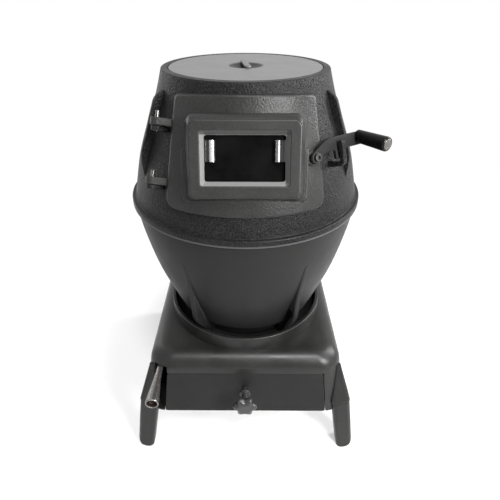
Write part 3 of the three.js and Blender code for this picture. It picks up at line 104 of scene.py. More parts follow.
SHOULDER_R = 3.5
DRAWER_TOP_Z = 179
DRAWER_HALF_TOP = 136.5
DRAWER_HALF_BOTTOM = 147.5
DRAWER_THICK = 7
KNOB_Z = 147
KNOB_R = 21
KNOB_BACK = 203.34
STEM_R = 3.6
SHANK_R = 6
ROD_X = -150
ROD_Z = 183
ROD_R = 5.5
SLOT_LEFT = -158.5
SLOT_RIGHT = -136
SLOT_TOP_Z = 194
FLUE_Z = 560
FLUE_R = 50
FLUE_BORE_R = 45
FLUE_FLANGE_R = 64
FLUE_BOLTS_R = 57
FLUE_SEAT_Y = 178
DOOR_LOW_Z = 496
DOOR_HIGH_Z = 638
DOOR_HALF_LOW = 108
DOOR_HALF_HIGH = 90.5
DOOR_BOW = 6.5
DOOR_GAP = 0.4
DOOR_PLATE = 8
BOX_HALF = 69.5
BOX_LOW = -41
BOX_HIGH = 54
BOX_DRAFT = 0.26
GLASS_HALF = 50
GLASS_LOW = -20
GLASS_HIGH = 36
GLASS_FRONT = -9.9
GLASS_BACK = -13.9
LATCH_LEAN = 20
PIVOT_BORE_R = 3.5
HANDLE_BACK = 3.3
HANDLE_FRONT = 8.3
HANDLE_REACH = 81


# ---------------------------------------------------------------- curves and outlines


def spline(through, steps=10):
    """A uniform Catmull-Rom curve: on the span from b to c, with t from 0 to 1,
    p = b + t (c - a) / 2 + t^2 (a - 5 b / 2 + 2 c - d / 2) + t^3 (3 (b - c) + d - a) / 2.
    """
    p = np.asarray(through, float)
    p = np.vstack([p[:1], p, p[-1:]])
    t = np.arange(steps)[:, None] / steps
    spans = []
    for a, b, c, d in zip(p[:-3], p[1:-2], p[2:-1], p[3:]):
        square, cube = a - 2.5 * b + 2 * c - 0.5 * d, (3 * (b - c) + d - a) / 2
        spans.append(b + t * (c - a) / 2 + t**2 * square + t**3 * cube)
    return np.vstack([*spans, p[-1:]])


BARREL = spline(BARREL_POINTS)
BOWL = spline(BOWL_POINTS)


def barrel_r(z):
    """The barrel's outer radius at a height, read off its curve."""
    return np.interp(z, BARREL[::-1, 1], BARREL[::-1, 0])


def bowl_r(z):
    """The bowl's outer radius at a height, read off its curve."""
    return np.interp(z, BOWL[::-1, 1], BOWL[::-1, 0])


def soften(corners, radius, steps=7, closed=True):
    """Replaces each corner c by the curve (1-t)^2 s + 2 t (1-t) c + t^2 e, where s and e lie `radius`
    away from it on its two sides. radius is one number or one for each corner.
    """
    p = np.asarray(corners, float)
    radii = np.broadcast_to(radius, len(p))
    t = np.linspace(0, 1, steps)[:, None]
    points = []
    for i, (here, reach) in enumerate(zip(p, radii)):
        if reach == 0 or (not closed and i in (0, len(p) - 1)):
            points.append(here[None])
            continue
        back, on = p[i - 1] - here, p[(i + 1) % len(p)] - here
        back_length, on_length = np.linalg.norm(back), np.linalg.norm(on)
        reach = min(reach, back_length / 2.01, on_length / 2.01)
        start, end = here + back * reach / back_length, here + on * reach / on_length
        points.append((1 - t) ** 2 * start + 2 * t * (1 - t) * here + t**2 * end)
    return np.vstack(points)


def anticlockwise(loop):
    """The loop, turned round if its signed area, half the sum of x_i y_(i+1) - x_(i+1) y_i, is negative."""
    x, y = loop[:, 0], loop[:, 1]
    return loop if np.sum(x * np.roll(y, -1) - np.roll(x, -1) * y) > 0 else loop[::-1]


def inset(loop, distance):
    """Moves an anticlockwise loop inwards: each point goes along the mean of its two sides' normals,
    by distance / cos(half the turn between them).
    """
    side = np.roll(loop, -1, 0) - loop
    normal = np.stack([-side[:, 1], side[:, 0]], 1) / np.linalg.norm(side, axis=1)[:, None]
    before = np.roll(normal, 1, 0)
    spread = 1 + np.sum(before * normal, 1)[:, None]
    return loop + distance * (before + normal) / np.maximum(spread, 0.5)


def resampled(loop, count):
    """`count` points at equal steps of the length round a closed loop."""
    closed = np.vstack([loop, loop[:1]])
    length = np.concatenate([[0], np.cumsum(np.linalg.norm(np.diff(closed, axis=0), axis=1))])
    at = np.linspace(0, length[-1], count, endpoint=False)
    return np.stack([np.interp(at, length, closed[:, i]) for i in (0, 1)], 1)


def circle(radius, sides):
    """(r cos a, r sin a) at equal turns."""
    a = np.arange(sides) * 2 * math.pi / sides
    return np.stack([radius * np.cos(a), radius * np.sin(a)], 1)


def belt(start, start_r, end, end_r, steps=16):
    """The outline round two circles: each one's arc between the two common tangents, which leave the
    line of centres at acos((start_r - end_r) / distance).
    """
    start, end = np.asarray(start, float), np.asarray(end, float)
    along = math.atan2(*(end - start)[::-1])
    lean = math.acos((start_r - end_r) / np.linalg.norm(end - start))
    a = np.linspace(along + lean, along + 2 * math.pi - lean, steps)
    b = np.linspace(along - lean, along + lean, steps)
    return np.vstack([
        start + start_r * np.stack([np.cos(a), np.sin(a)], 1),
        end + end_r * np.stack([np.cos(b), np.sin(b)], 1),
    ])


def rounded_box(half_x, low, high, corner, steps=8):
    """A rectangle with quarter-circle corners, anticlockwise from the right."""
    a = np.linspace(0, math.pi / 2, steps)
    quarters = []
    for turn, x, y in ((0, 1, 1), (1, -1, 1), (2, -1, -1), (3, 1, -1)):
        angle = a + turn * math.pi / 2
        centre_y = high - corner if y > 0 else low + corner
        quarters.append(np.stack([
            x * (half_x - corner) + corner * np.cos(angle), centre_y + corner * np.sin(angle),
        ], 1))
    return np.vstack(quarters)


# ---------------------------------------------------------------- axes


def facing(origin, azimuth, lean):
    """Axes of a face that looks out at an azimuth and leans back: right, up it, out of it."""
    a, t = math.radians(azimuth), math.radians(lean)
    right = np.array([math.cos(a), math.sin(a), 0])
    out = np.array([math.sin(a) * math.cos(t), -math.cos(a) * math.cos(t), math.sin(t)])
    return np.asarray(origin, float), np.stack([right, np.cross(out, right), out])


def radial(azimuth):
    """Axes of the upright plane through the stove's axis: outwards, up, across."""
    a = math.radians(azimuth)
    out = np.array([math.sin(a), -math.cos(a), 0])
    return np.zeros(3), np.stack([out, UP, np.cross(out, UP)])


def on_barrel(azimuth, z, offset=0.0):
    """The point at an azimuth and height, `offset` outside the barrel's curve."""
    a, r = math.radians(azimuth), float(barrel_r(z)) + offset
    return np.array([r * math.sin(a), -r * math.cos(a), z])


def shifted(axes, x=0.0, y=0.0, z=0.0):
    """The same axes with their origin moved along them."""
    origin, basis = axes
    return origin + np.array([x, y, z]) @ basis, basis


def placed(points, axes):
    """Points given along a set of axes, in the world: origin + x right + y up + z out."""
    origin, basis = axes
    return points @ basis + origin


WORLD = (np.zeros(3), np.eye(3))
FRONT = (np.zeros(3), np.array([[1.0, 0, 0], [0, 0, 1.0], [0, -1.0, 0]]))
FLUE = (np.array([0, 0, FLUE_Z]), np.array([[1.0, 0, 0], [0, 0, -1.0], [0, 1.0, 0]]))
UPPER_MARK = on_barrel(-48.33, 607.5, 17.5)
LOWER_MARK = on_barrel(-43.89, 536.5, 15.1)
HINGE = (UPPER_MARK - LOWER_MARK) / np.linalg.norm(UPPER_MARK - LOWER_MARK)
BOX = facing(on_barrel(0, 565, 20.5), 0, LATCH_LEAN)
LATCH = facing(on_barrel(33.6, 561, DOOR_GAP + DOOR_PLATE), 33.6, LATCH_LEAN)
PIVOT = shifted(LATCH, -4.5)
DRAWER = facing([0, -BASE_HALF_Y, BASE_BOTTOM_Z], 0, math.degrees(math.atan(BASE_DRAFT_Y)))


def hinge_axes(mark):
    """Axes at a point of the hinge line: across it, behind it, and along it as the third."""
    right = np.array([1.0, 0, 0]) - HINGE * HINGE[0]
    right /= np.linalg.norm(right)
    return np.asarray(mark), np.stack([right, np.cross(HINGE, right), HINGE])


def along_front(x, z):
    """Axes of a line that runs towards the front at an x and z."""
    return np.array([x, 0, z]), FRONT[1]


def grip_axes():
    """Axes of the grip: it runs out of the arm's end at azimuth 34.6, rising 2.5 degrees."""
    a, rise = math.radians(34.6), math.radians(2.5)
    out = np.array([math.sin(a) * math.cos(rise), -math.cos(a) * math.cos(rise), math.sin(rise)])
    across = np.cross(UP, out) / np.linalg.norm(np.cross(UP, out))
    root, _ = shifted(LATCH, HANDLE_REACH - 7, 14.5, (HANDLE_BACK + HANDLE_FRONT) / 2)
    return root, np.stack([across, np.cross(out, across), out])


GRIP = grip_axes()


# ---------------------------------------------------------------- surfaces


def solid(rows, wrap=False):
    """A closed surface through equal rings of points: each ring is joined to the next by quads, and the
    last to the first where wrap is set. Otherwise a face closes each end.
    """
    rows = np.asarray(rows, float)
    count, around = rows.shape[:2]
    index = np.arange(count * around).reshape(count, around)
    rings = np.vstack([index, index[:1]]) if wrap else index
    low, high = rings[:-1], rings[1:]
    quads = np.stack([low, np.roll(low, -1, 1), np.roll(high, -1, 1), high], -1).reshape(-1, 4)
    caps = [] if wrap else [index[0][::-1].tolist(), index[-1].tolist()]
    mesh = bpy.data.meshes.new("surface")
    mesh.from_pydata((rows.reshape(-1, 3) * MM).tolist(), [], quads.tolist() + caps)
    work = bmesh.new()
    work.from_mesh(mesh)
    bmesh.ops.recalc_face_normals(work, faces=work.faces)
    work.to_mesh(mesh)
    work.free()
    obj = bpy.data.objects.new("surface", mesh)
    bpy.context.scene.collection.objects.link(obj)
    return obj


def combined(obj, tool, operation):
    """obj after one set operation with tool, which is used up."""
    step = obj.modifiers.new("set", "BOOLEAN")
    step.object, step.operation, step.solver = tool, operation, "MANIFOLD"
    graph = bpy.context.evaluated_depsgraph_get()
    mesh = bpy.data.meshes.new_from_object(obj.evaluated_get(graph))
    if not mesh.polygons:
        raise RuntimeError(f"{operation} left nothing")
    obj.modifiers.clear()
    spent = (obj.data, tool.data)
    obj.data = mesh
    bpy.data.objects.remove(tool)
    for old in spent:
        bpy.data.meshes.remove(old)
    return obj


def united(first, *others):
    """first with the others joined on."""
    for other in others:
        combined(first, other, "UNION")
    return first


def cut(first, *tools):
    """first with the tools taken away."""
    for tool in tools:
        combined(first, tool, "DIFFERENCE")
    return first


def turned(profile, axes=WORLD, segments=64, wrap=False):
    """A [radius, height] profile turned about the third axis: (r cos a, r sin a, h). A ring on the axis
    keeps a radius of 0.02, and the end's face closes it.
    """
    p = np.asarray(profile, float)
    a = np.arange(segments) * 2 * math.pi / segments
    r, h = np.maximum(p[:, :1], 0.02), p[:, 1:]
    rows = np.stack([r * np.cos(a), r * np.sin(a), np.broadcast_to(h, (len(p), segments))], -1)
    return solid(placed(rows, axes), wrap)


def rod(radius, low, high, axes=WORLD, edge=0.0, segments=48, end_radius=None):
    """A round bar with softened ends."""
    end = radius if end_radius is None else end_radius
    corners = [(0, low), (radius, low), (end, high), (0, high)]
    radii = [0, edge, edge, 0]
    profile = soften(corners, radii, closed=False) if edge else np.asarray(corners, float)
    return turned(profile, axes, segments)


def plate(outline, low, high, axes, edge=1.0):
    """An outline given thickness. Its edges follow quarter circles: at a turn t the ring is inset by
    edge (1 - sin t), and lies edge (1 - cos t) inside the face.
    """
    loop = anticlockwise(np.asarray(outline, float))
    t = np.linspace(0, math.pi / 2, ARC)
    insets, depths = [edge * 1.4, *(edge * (1 - np.sin(t)))], [0, *(edge * (1 - np.cos(t)))]
    if edge == 0:
        insets, depths = [0], [0]
    rows = [np.column_stack([inset(loop, i), np.full(len(loop), low + d)]) for i, d in zip(insets, depths)]
    rows += [
        np.column_stack([inset(loop, i), np.full(len(loop), high - d)])
        for i, d in zip(insets[::-1], depths[::-1])
    ]
    return solid(placed(np.stack(rows), axes))


def stacked(rings, axes):
    """A solid through rounded rectangles, each one (half width, low, high, corner, level)."""
    rows = [np.column_stack([rounded_box(*ring[:4]), np.full(32, ring[4])]) for ring in rings]
    return solid(placed(np.stack(rows), axes))


def front_cut(outline, near=30, far=260):
    """Everything in front of the stove whose front view lies inside an outline."""
    return plate(outline, near, far, FRONT, 0)


def smooth_edges(obj):
    """Smooth shading, broken where two faces meet at more than an angle, with each corner's normal
    weighted by the size of its faces.
    """
    obj.data.shade_smooth()
    obj.data.set_sharp_from_angle(angle=math.radians(SHARP_ANGLE))
    finish = obj.modifiers.new("normals", "WEIGHTED_NORMAL")
    finish.keep_sharp = True


def piece(obj, name, body, nodes, material):
    """Names a finished surface, gives it its finish, joins it to its body, and hides the CAD nodes that it
    takes the place of.
    """
    obj.name = obj.data.name = name
    obj.data.materials.clear()
    obj.data.materials.append(material)
    obj.data.polygons.foreach_set("material_index", np.zeros(len(obj.data.polygons), np.int32))
    smooth_edges(obj)
    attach(obj, body)
    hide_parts(*nodes)


# ---------------------------------------------------------------- base, collar and legs


def base_half(z):
    """The drafted box's half width and half depth at a height."""
    drop = z - BASE_BOTTOM_Z
    return BASE_HALF_X - BASE_DRAFT_X * drop, BASE_HALF_Y - BASE_DRAFT_Y * drop


def base_rings(moved_in, bottom, top, edge, steps):
    """Drafted rounded rectangles up to a rounded top edge: at a turn t they are edge (1 - cos t) further
    in, at a height top - edge (1 - sin t).
    """
    t = np.linspace(0, math.pi / 2, steps)
    levels = [(bottom, 2.0), (bottom + 0.6, 0.6), (bottom + 2, 0.0), (top - edge - 4, 0.0)]
    levels += [(top - edge + edge * math.sin(a), edge * (1 - math.cos(a))) for a in t]
    levels.append((top, edge + 1.0))
    rings = []
    for z, extra in levels:
        x, y = base_half(z)
        x, y = x - moved_in - extra, y - moved_in - extra
        corner = max(BASE_CORNER - moved_in - extra / 2, 6)
        rings.append(np.column_stack([rounded_box(x, -y, y, corner, 12), np.full(48, z)]))
    return rings


def leg_ring(side, z, grow=0.0, rise=0.0, pull=0.0, soft=0.0):
    """One leg's section: a rounded square about the splayed middle line, with its outer side moved in
    by `pull`. Its height rises outwards by `rise` for each millimetre.
    """
    half = LEG_WIDTH / 2 + grow - soft
    ring = rounded_box(half, -half, half, 8.0, 10)
    lift = rise * (side[0] * ring[:, 0] + LEG_WIDTH / 2)
    x = side[0] * (LEG_FOOT[0] - LEG_SPLAY[0] * z) + ring[:, 0]
    y = side[1] * (LEG_FOOT[1] - LEG_SPLAY[1] * z) + ring[:, 1]
    outer = LEG_FOOT[0] - LEG_SPLAY[0] * z + LEG_WIDTH / 2 - pull
    x = side[0] * np.minimum(side[0] * x, outer)
    return np.column_stack([x, y, z + lift])


def leg(side):
    """A splayed post. Its outer lower corner follows a quarter circle of LEG_HEEL, its foot and its top
    are softened, and its top slopes up outwards to meet the base.
    """
    rows = [leg_ring(side, 0, pull=LEG_HEEL, soft=2.0), leg_ring(side, 0.5, pull=LEG_HEEL - 0.2, soft=0.6)]
    for a in np.linspace(0.12, math.pi / 2, 14):
        z, pull = LEG_HEEL * (1 - math.cos(a)), LEG_HEEL * (1 - math.sin(a)) + LEG_HEEL_INSET
        rows.append(leg_ring(side, z, pull=pull))
    for z, soft in ((60, 0), (LEG_TOP_Z - 2.4, 0), (LEG_TOP_Z - 0.9, 0.6), (LEG_TOP_Z, 2.2)):
        rows.append(leg_ring(side, z, rise=LEG_RISE * min(1, z / LEG_TOP_Z), soft=soft))
    return solid(np.stack(rows))


def leg_clearance(side):
    """The leg's upper end, larger by the fit: the room that the base leaves it."""
    rows = [leg_ring(side, 80, FIT), leg_ring(side, LEG_TOP_Z + FIT, FIT, LEG_RISE)]
    return solid(np.stack(rows))


def bracket(side):
    """The base's corner, which flares out to the leg: its sections round out from the leg's by a quarter
    circle, then pass in a straight line to a small one beside the box's rounded corner.
    """
    rows = []
    for a in np.linspace(0, math.pi / 2, ARC):
        z, gone = LEG_TOP_Z + FIT + SHOULDER_R * (1 - math.cos(a)), SHOULDER_R * (1 - math.sin(a))
        rows.append(leg_ring(side, z, BRACKET_GROW - gone, LEG_RISE))
    foot = rows[-1]
    top = BASE_TOP_Z - 28
    x, y = base_half(top)
    middle = np.array([side[0] * (x - 5), side[1] * (y - 17)])
    tip = np.column_stack([middle + rounded_box(4, -4, 4, 2.5, 10), np.full(40, top)])
    rows += [foot + (tip - foot) * s for s in np.linspace(0.06, 1, 10)]
    return solid(np.stack(rows))


def collar():
    """The turned collar: a foot that sweeps up from the base's top, a soft rim, and the bowl's seat."""
    wall, foot, root = COLLAR_R - COLLAR_WALL, COLLAR_R + 9, 202
    corners = [
        (ASH_HOLE_R, 205), (COLLAR_R, root), (foot, root), (foot, BASE_TOP_Z - 5),
        (COLLAR_R, BASE_TOP_Z - 2.5), (COLLAR_R, COLLAR_TOP_Z), (wall, COLLAR_TOP_Z),
        (wall, COLLAR_SEAT_Z), (ASH_HOLE_R, COLLAR_SEAT_Z),
    ]
    return turned(soften(corners, [0, 0, 0, 1.6, 6, 2, 2, 2, 2]), segments=SEGMENTS, wrap=True)


def drawer_outline(grow, bottom):
    """The drawer's trapezoid, larger by `grow`, with its sides carried down to a height."""
    slope = (DRAWER_HALF_BOTTOM - DRAWER_HALF_TOP) / (DRAWER_TOP_Z - BASE_BOTTOM_Z)
    top = DRAWER_TOP_Z + grow
    low_half = DRAWER_HALF_TOP + grow + slope * (DRAWER_TOP_Z - bottom)
    high_half = DRAWER_HALF_TOP + grow
    return [(-low_half, bottom), (low_half, bottom), (high_half, top), (-high_half, top)]


def rod_guide(y):
    """A lug on the side wall that the shaker's rod slides through."""
    wall, inner = -base_half(ROD_Z)[0] + 3.5, ROD_X + 9
    low, high = ROD_Z - 10, ROD_Z + 10
    outline = soften([(wall, low), (inner, low), (inner, high), (wall, high)], [0, 4, 4, 0])
    return plate(outline, -y - 12, -y, FRONT, 0.8)


def base_casting():
    """The drafted box with its rounded top, its four flared corners and its collar; hollow, with the
    ash hole, the drawer's notch and the slot for the shaker.
    """
    body = solid(np.stack(base_rings(0, BASE_BOTTOM_Z, BASE_TOP_Z, BASE_EDGE, 14)))
    united(body, *(bracket(side) for side in LEGS.values()))
    hollow = solid(np.stack(base_rings(BASE_WALL, BASE_FLOOR_Z, BASE_TOP_Z - 8, 20, 8)))
    cut(body, hollow, rod(ASH_HOLE_R, 150, 250, segments=SEGMENTS))
    united(body, collar())
    cut(body, *(leg_clearance(side) for side in LEGS.values()))
    cut(body, front_cut(drawer_outline(0.9, 80), 156, 196))
    slot = [
        (SLOT_LEFT, BASE_FLOOR_Z), (SLOT_RIGHT, BASE_FLOOR_Z),
        (SLOT_RIGHT, SLOT_TOP_Z), (SLOT_LEFT, SLOT_TOP_Z),
    ]
    cut(body, front_cut(soften(slot, [0, 0, 2, 2]), 136, 196))
    for y in (-132, 38):
        united(body, rod_guide(y))
        cut(body, rod(ROD_R + FIT, -y - 20, -y + 8, along_front(ROD_X, ROD_Z)))
    return body


# ---------------------------------------------------------------- drawer and star knob


def drawer_front():
    """The drawer's plate: a trapezoid with soft corners, bored for the knob's stem."""
    rise = math.hypot(1, BASE_DRAFT_Y) * (DRAWER_TOP_Z - BASE_BOTTOM_Z)
    corners = [
        (-DRAWER_HALF_BOTTOM, 0), (DRAWER_HALF_BOTTOM, 0), (DRAWER_HALF_TOP, rise), (-DRAWER_HALF_TOP, rise),
    ]
    front = plate(soften(corners, 5), -DRAWER_THICK, 0, DRAWER, 1.3)
    return cut(front, rod(STEM_R + FIT, 150, 200, along_front(0, KNOB_Z)))


def star_knob():
    """A hand knob: at an angle a its edge lies at R (0.86 + 0.14 cos 6 a), eased towards a circle where
    the profile nears its middle.
    """
    corners = [(2, 0), (17.5, 0), (KNOB_R, 2.6), (KNOB_R, 8.5), (13, 13), (2, 13)]
    profile = soften(corners, [0, 2, 3.5, 4.5, 6, 0], 8, False)
    a = np.arange(144) * 2 * math.pi / 144
    r, h = profile[:, :1], profile[:, 1:]
    lobes = 0.14 * np.clip((r / KNOB_R - 0.25) / 0.7, 0, 1) ** 1.4
    edge = r * (1 - lobes + lobes * np.cos(6 * a))
    rows = np.stack([edge * np.cos(a), edge * np.sin(a), KNOB_BACK + np.broadcast_to(h, edge.shape)], -1)
    body = solid(placed(rows, along_front(0, KNOB_Z)))
    return cut(body, rod(STEM_R + FIT, KNOB_BACK - 5, KNOB_BACK + 10.3, along_front(0, KNOB_Z)))


def knob_stem():
    """The turned stem: a thread through the drawer, a shank with a ring, and a tip in the knob."""
    end = KNOB_BACK - FIT
    profile = soften([
        (0, 149.7), (STEM_R, 149.7), (STEM_R, 171.5), (SHANK_R, 171.5), (SHANK_R, 180.3), (9.5, 180.3),
        (9.5, 185.3), (SHANK_R, 185.3), (SHANK_R, end), (STEM_R, end), (STEM_R, 213.3), (0, 213.3),
    ], [0, 0.6, 0, 0.8, 0.8, 1.4, 1.4, 0.8, 0.8, 0, 0.6, 0], 5, False)
    return turned(profile, along_front(0, KNOB_Z))


# ---------------------------------------------------------------- shaker


def shaker_rod():
    """The turned rod with its flared and hollow hand end, and its peg."""
    profile = soften([
        (0, -90), (ROD_R, -90), (ROD_R, 176), (11, 230), (10.4, 232), (8.8, 232), (8, 224), (0, 224),
    ], [0, 1, 14, 1.2, 0.6, 0.8, 1, 0], 6, False)
    shaft = turned(profile, along_front(ROD_X, ROD_Z))
    return united(shaft, rod(4, ROD_Z, 199, (np.array([ROD_X, 0, 0]), np.eye(3)), 0.8))


# ---------------------------------------------------------------- fire bowl


def bowl_rib(azimuth):
    """A gusset in a radial plane, from the collar's floor up the bowl's side, with soft edges."""
    floor, top, tuck = COLLAR_SEAT_Z + 0.4, 398, 324
    outer = soften([
        (106, floor), (131, floor), (131, 232), (161, 275), (161, 317), (float(bowl_r(top)) + 0.4, top),
        (float(bowl_r(top)) - 5, top), (float(bowl_r(tuck)) - 5, tuck), (118, 248), (106, 234),
    ], [0, 3, 10, 34, 30, 8, 0, 0, 0, 0], 9)
    return plate(outer, -4.5, 4.5, radial(azimuth), 2.2)


def fire_bowl():
    """The turned bowl: its outer curve, a swept neck, the foot, the throat's ledge, the inner wall and
    the spigot; joined to its four gussets.
    """
    neck = [(128, 250), (112, 250), (112, 232)]
    foot = [(112, 220.3), (103, 220.3), (103, 226), (90, 226), (90, 232), (97, 232), (97, 246), (106, 249)]
    inner = [(r - CASTING_WALL, z) for r, z in BOWL_POINTS[::-1][:-1]]
    spigot = [(165.5, 438), (165.5, 458), (171.5, 458), (171.5, BOWL_TOP_Z)]
    profile = np.vstack([
        BOWL[2:-1], soften(neck, [0, 14, 0], 8, False), soften(foot, [1.5, 1.5, 0, 1, 1, 1, 1, 3], 4),
        spline(inner, 4), soften(spigot, [6, 1, 1, 1], 4), [(182.3, BOWL_TOP_Z), (183.3, BOWL_TOP_Z - 0.8)],
    ])
    body = turned(profile, segments=SEGMENTS, wrap=True)
    return united(body, *(bowl_rib(a) for a in (-32, 32, 148, 212)))


# ---------------------------------------------------------------- barrel


def door_outline(moved_in):
    """The door's front view: straight sides that lean in and a top edge that falls as a parabola, z =
    top - DOOR_BOW t^2 with t from 1 to -1 across it.
    """
    low, high = DOOR_LOW_Z + moved_in, DOOR_HIGH_Z - moved_in
    slope = (DOOR_HALF_LOW - DOOR_HALF_HIGH) / (DOOR_HIGH_Z - DOOR_LOW_Z)

    def half(z):
        """The straight side's distance from the middle at a height."""
        return DOOR_HALF_LOW - slope * (z - DOOR_LOW_Z) - moved_in

    t = np.linspace(1, -1, 15)
    bow = np.column_stack([t * half(high), high - DOOR_BOW * t**2])
    corner = max(16 - moved_in / 2, 6)
    radii = [corner, corner, corner, *([0] * 13), corner]
    return resampled(soften([(-half(low), low), (half(low), low), *bow], radii, 12), 260)


def wrapped(loop, offset):
    """Points of the front view set on the barrel, `offset` outside its curve:
    y = -sqrt((R(z) + offset)^2 - x^2).
    """
    x, z = loop[:, 0], loop[:, 1]
    r = barrel_r(z) + offset
    return np.column_stack([x, -np.sqrt(r**2 - x**2), z])


def fin(azimuth):
    """A side fin in a radial plane: its outer edge is a curve through FIN_POINTS, its inner edge lies 4
    inside the barrel's.
    """
    outer = spline(FIN_POINTS, 5)
    back = np.column_stack([barrel_r(outer[:, 1]) - 4, outer[:, 1]])[::-1]
    return plate(resampled(np.vstack([outer, back]), 150), -3.25, 3.25, radial(azimuth), 1.4)


def barrel_lug(mark):
    """The barrel's ear under a door lug, from the pin back into the wall."""
    outline = belt((0, 0), 7, (20, 20), 7)
    return plate(outline, -21.3, -14.8, hinge_axes(mark), 1.2)


def keeper_hook():
    """The keeper: it comes out of the wall under the handle and rises in front of the handle's tooth."""
    origin, (_, up, out) = facing(on_barrel(45.6, 560), 45.6, LATCH_LEAN)
    outline = soften([
        (-8, -21.5), (10, -21.5), (26, -21.5), (28.6, 9), (25, 13.5), (20.8, 9), (20.6, -15.5), (7, -15.5),
        (-8, -11.5),
    ], [0, 0, 15, 4, 4, 4, 3.5, 6, 0], 9)
    return plate(outline, -4, 4, (origin, np.stack([out, up, np.cross(out, up)])), 1.3)


def hinge_bores():
    """Room for the two hinge pins."""
    return [rod(2.9, -31, 9, hinge_axes(mark), segments=24) for mark in (UPPER_MARK, LOWER_MARK)]


def flue_bolt_axes(i):
    """Axes of a flange bolt: the three stand at equal turns round the flue, the first on top."""
    a = math.pi / 2 + i * 2 * math.pi / 3
    return shifted(FLUE, FLUE_BOLTS_R * math.cos(a), FLUE_BOLTS_R * math.sin(a))


def flue_bores(low, high):
    """Room for the flange's bolts."""
    return [rod(4 + FIT, low, high, flue_bolt_axes(i), segments=24) for i in range(3)]


def upper_barrel():
    """The turned bell with its rim, rebate and bead; joined to the fins, hinge ears, keeper and flue
    seat; opened for the door and the flue.
    """
    rim = soften([(119, BARREL_TOP_Z), (122.05, BARREL_TOP_Z), (124, 644)], [0, 2.2, 0], 6, False)
    bead = soften([
        (181.4, 467), (182, BEAD_TOP_Z), (BEAD_R, BEAD_TOP_Z), (BEAD_R, BEAD_LOW_Z), (184, BEAD_LOW_Z),
        (175, BEAD_LOW_Z),
    ], [0, 1.8, 4.5, 1.2, 0, 0], 7, False)
    outside = np.vstack([[(0, BARREL_TOP_Z)], rim[1:-1], BARREL[2:-1], bead, [(0, BEAD_LOW_Z)]])
    wall = [(r - CASTING_WALL, z) for r, z in BARREL_POINTS[1:]][::-1]
    ledge, above = LID_BOTTOM_Z - FIT, BARREL_TOP_Z + 4
    mouth = soften([
        (103.5, ledge - 7), (103.5, ledge), (REBATE_R, ledge), (REBATE_R, 651.2), (REBATE_R + 3, above),
    ], [1, 1, 0.6, 1.4, 0], 5, False)
    hollow = np.vstack([[(0, 440), (174.4, 440)], spline(wall, 5), mouth, [(0, above)]])
    body = turned(outside, segments=SEGMENTS)
    united(body, fin(-60), fin(60), barrel_lug(UPPER_MARK), barrel_lug(LOWER_MARK), keeper_hook())
    united(body, rod(FLUE_FLANGE_R, 90, FLUE_SEAT_Y, FLUE, 1.2, 96))
    cut(body, turned(hollow, segments=SEGMENTS), front_cut(door_outline(14)))
    cut(body, rod(FLUE_BORE_R, 60, FLUE_SEAT_Y + 5, FLUE, segments=96))
    return cut(body, *flue_bores(163, 190), *hinge_bores())


# ---------------------------------------------------------------- flue collar and bolts


def flue_collar():
    """The turned spigot on its flange, bored for the bolts."""
    seat, face = FLUE_SEAT_Y + FIT, FLUE_SEAT_Y + FIT + 8
    profile = soften([
        (FLUE_BORE_R, seat), (FLUE_FLANGE_R, seat), (FLUE_FLANGE_R, face), (FLUE_R, face), (FLUE_R, 232),
        (FLUE_BORE_R, 232),
    ], [1, 1.5, 1.5, 5, 1.5, 1.5], 6)
    body = turned(profile, FLUE, 128, wrap=True)
    return cut(body, *flue_bores(170, 200))


def hexagon(radius):
    """Six corners, each softened over a tenth of the radius."""
    return soften(circle(radius, 6), radius * 0.1, 4)


def flue_bolt(i):
    """A bolt: a hexagon's head on a plain shank."""
    head = plate(hexagon(6.8), 186.6, 191.6, flue_bolt_axes(i), 0.7)
    return united(head, rod(4, 164, 187.6, flue_bolt_axes(i), segments=24))


# ---------------------------------------------------------------- lid


def lid():
    """The turned lid: its socket falls as 6 (1 - (r / 26)^2.5) and its edge is softened."""
    r = np.linspace(0, 25.2, 14)
    dish = np.column_stack([r, BARREL_TOP_Z - 6 * (1 - (r / 26) ** 2.5)])
    rim = soften([
        (24.5, 649.2), (26.6, BARREL_TOP_Z), (LID_R, BARREL_TOP_Z), (LID_R, LID_BOTTOM_Z), (34, LID_BOTTOM_Z),
        (27, 640), (0, 640),
    ], [0, 1.2, 1.5, 0.6, 3, 1, 0], 6, False)
    return turned(np.vstack([dish, rim[1:]]), segments=SEGMENTS)


def lift_bar():
    """The bar across the socket, turned 8 degrees from the front: the outline round its two ends."""
    a = math.radians(98)
    along, across = np.array([math.cos(a), math.sin(a), 0]), np.array([-math.sin(a), math.cos(a), 0])
    outline = belt((-24.5, 0), 4.5, (24.5, 0), 4.5, 20)
    low = BARREL_TOP_Z + FIT
    return plate(outline, low, low + 3, (np.zeros(3), np.stack([along, across, UP])), 1.1)


# ---------------------------------------------------------------- door


def door_plate():
    """The plate that follows the barrel. Inset rings of its outline are set on the barrel, at the back,
    round a softened edge, and at the front, where they shrink towards the middle.
    """
    loop = anticlockwise(door_outline(0))
    middle = np.array([0.0, (DOOR_LOW_Z + DOOR_HIGH_Z) / 2])
    back, front, edge = DOOR_GAP, DOOR_GAP + DOOR_PLATE, 2.2
    shrink = np.linspace(0.04, 0.97, 16)
    rim, deep = inset(loop, edge + 0.8), inset(loop, 0.8)
    rows = [wrapped(middle + (deep - middle) * s, back) for s in shrink]
    rows += [wrapped(deep, back), wrapped(inset(loop, 0.2), back + 0.2), wrapped(loop, back + 0.8)]
    for a in np.linspace(0, math.pi / 2, ARC):
        rows.append(wrapped(inset(loop, edge * (1 - math.cos(a))), front - edge + edge * math.sin(a)))
    rows += [wrapped(rim, front)]
    rows += [wrapped(middle + (rim - middle) * s, front) for s in shrink[::-1]]
    return solid(np.stack(rows))


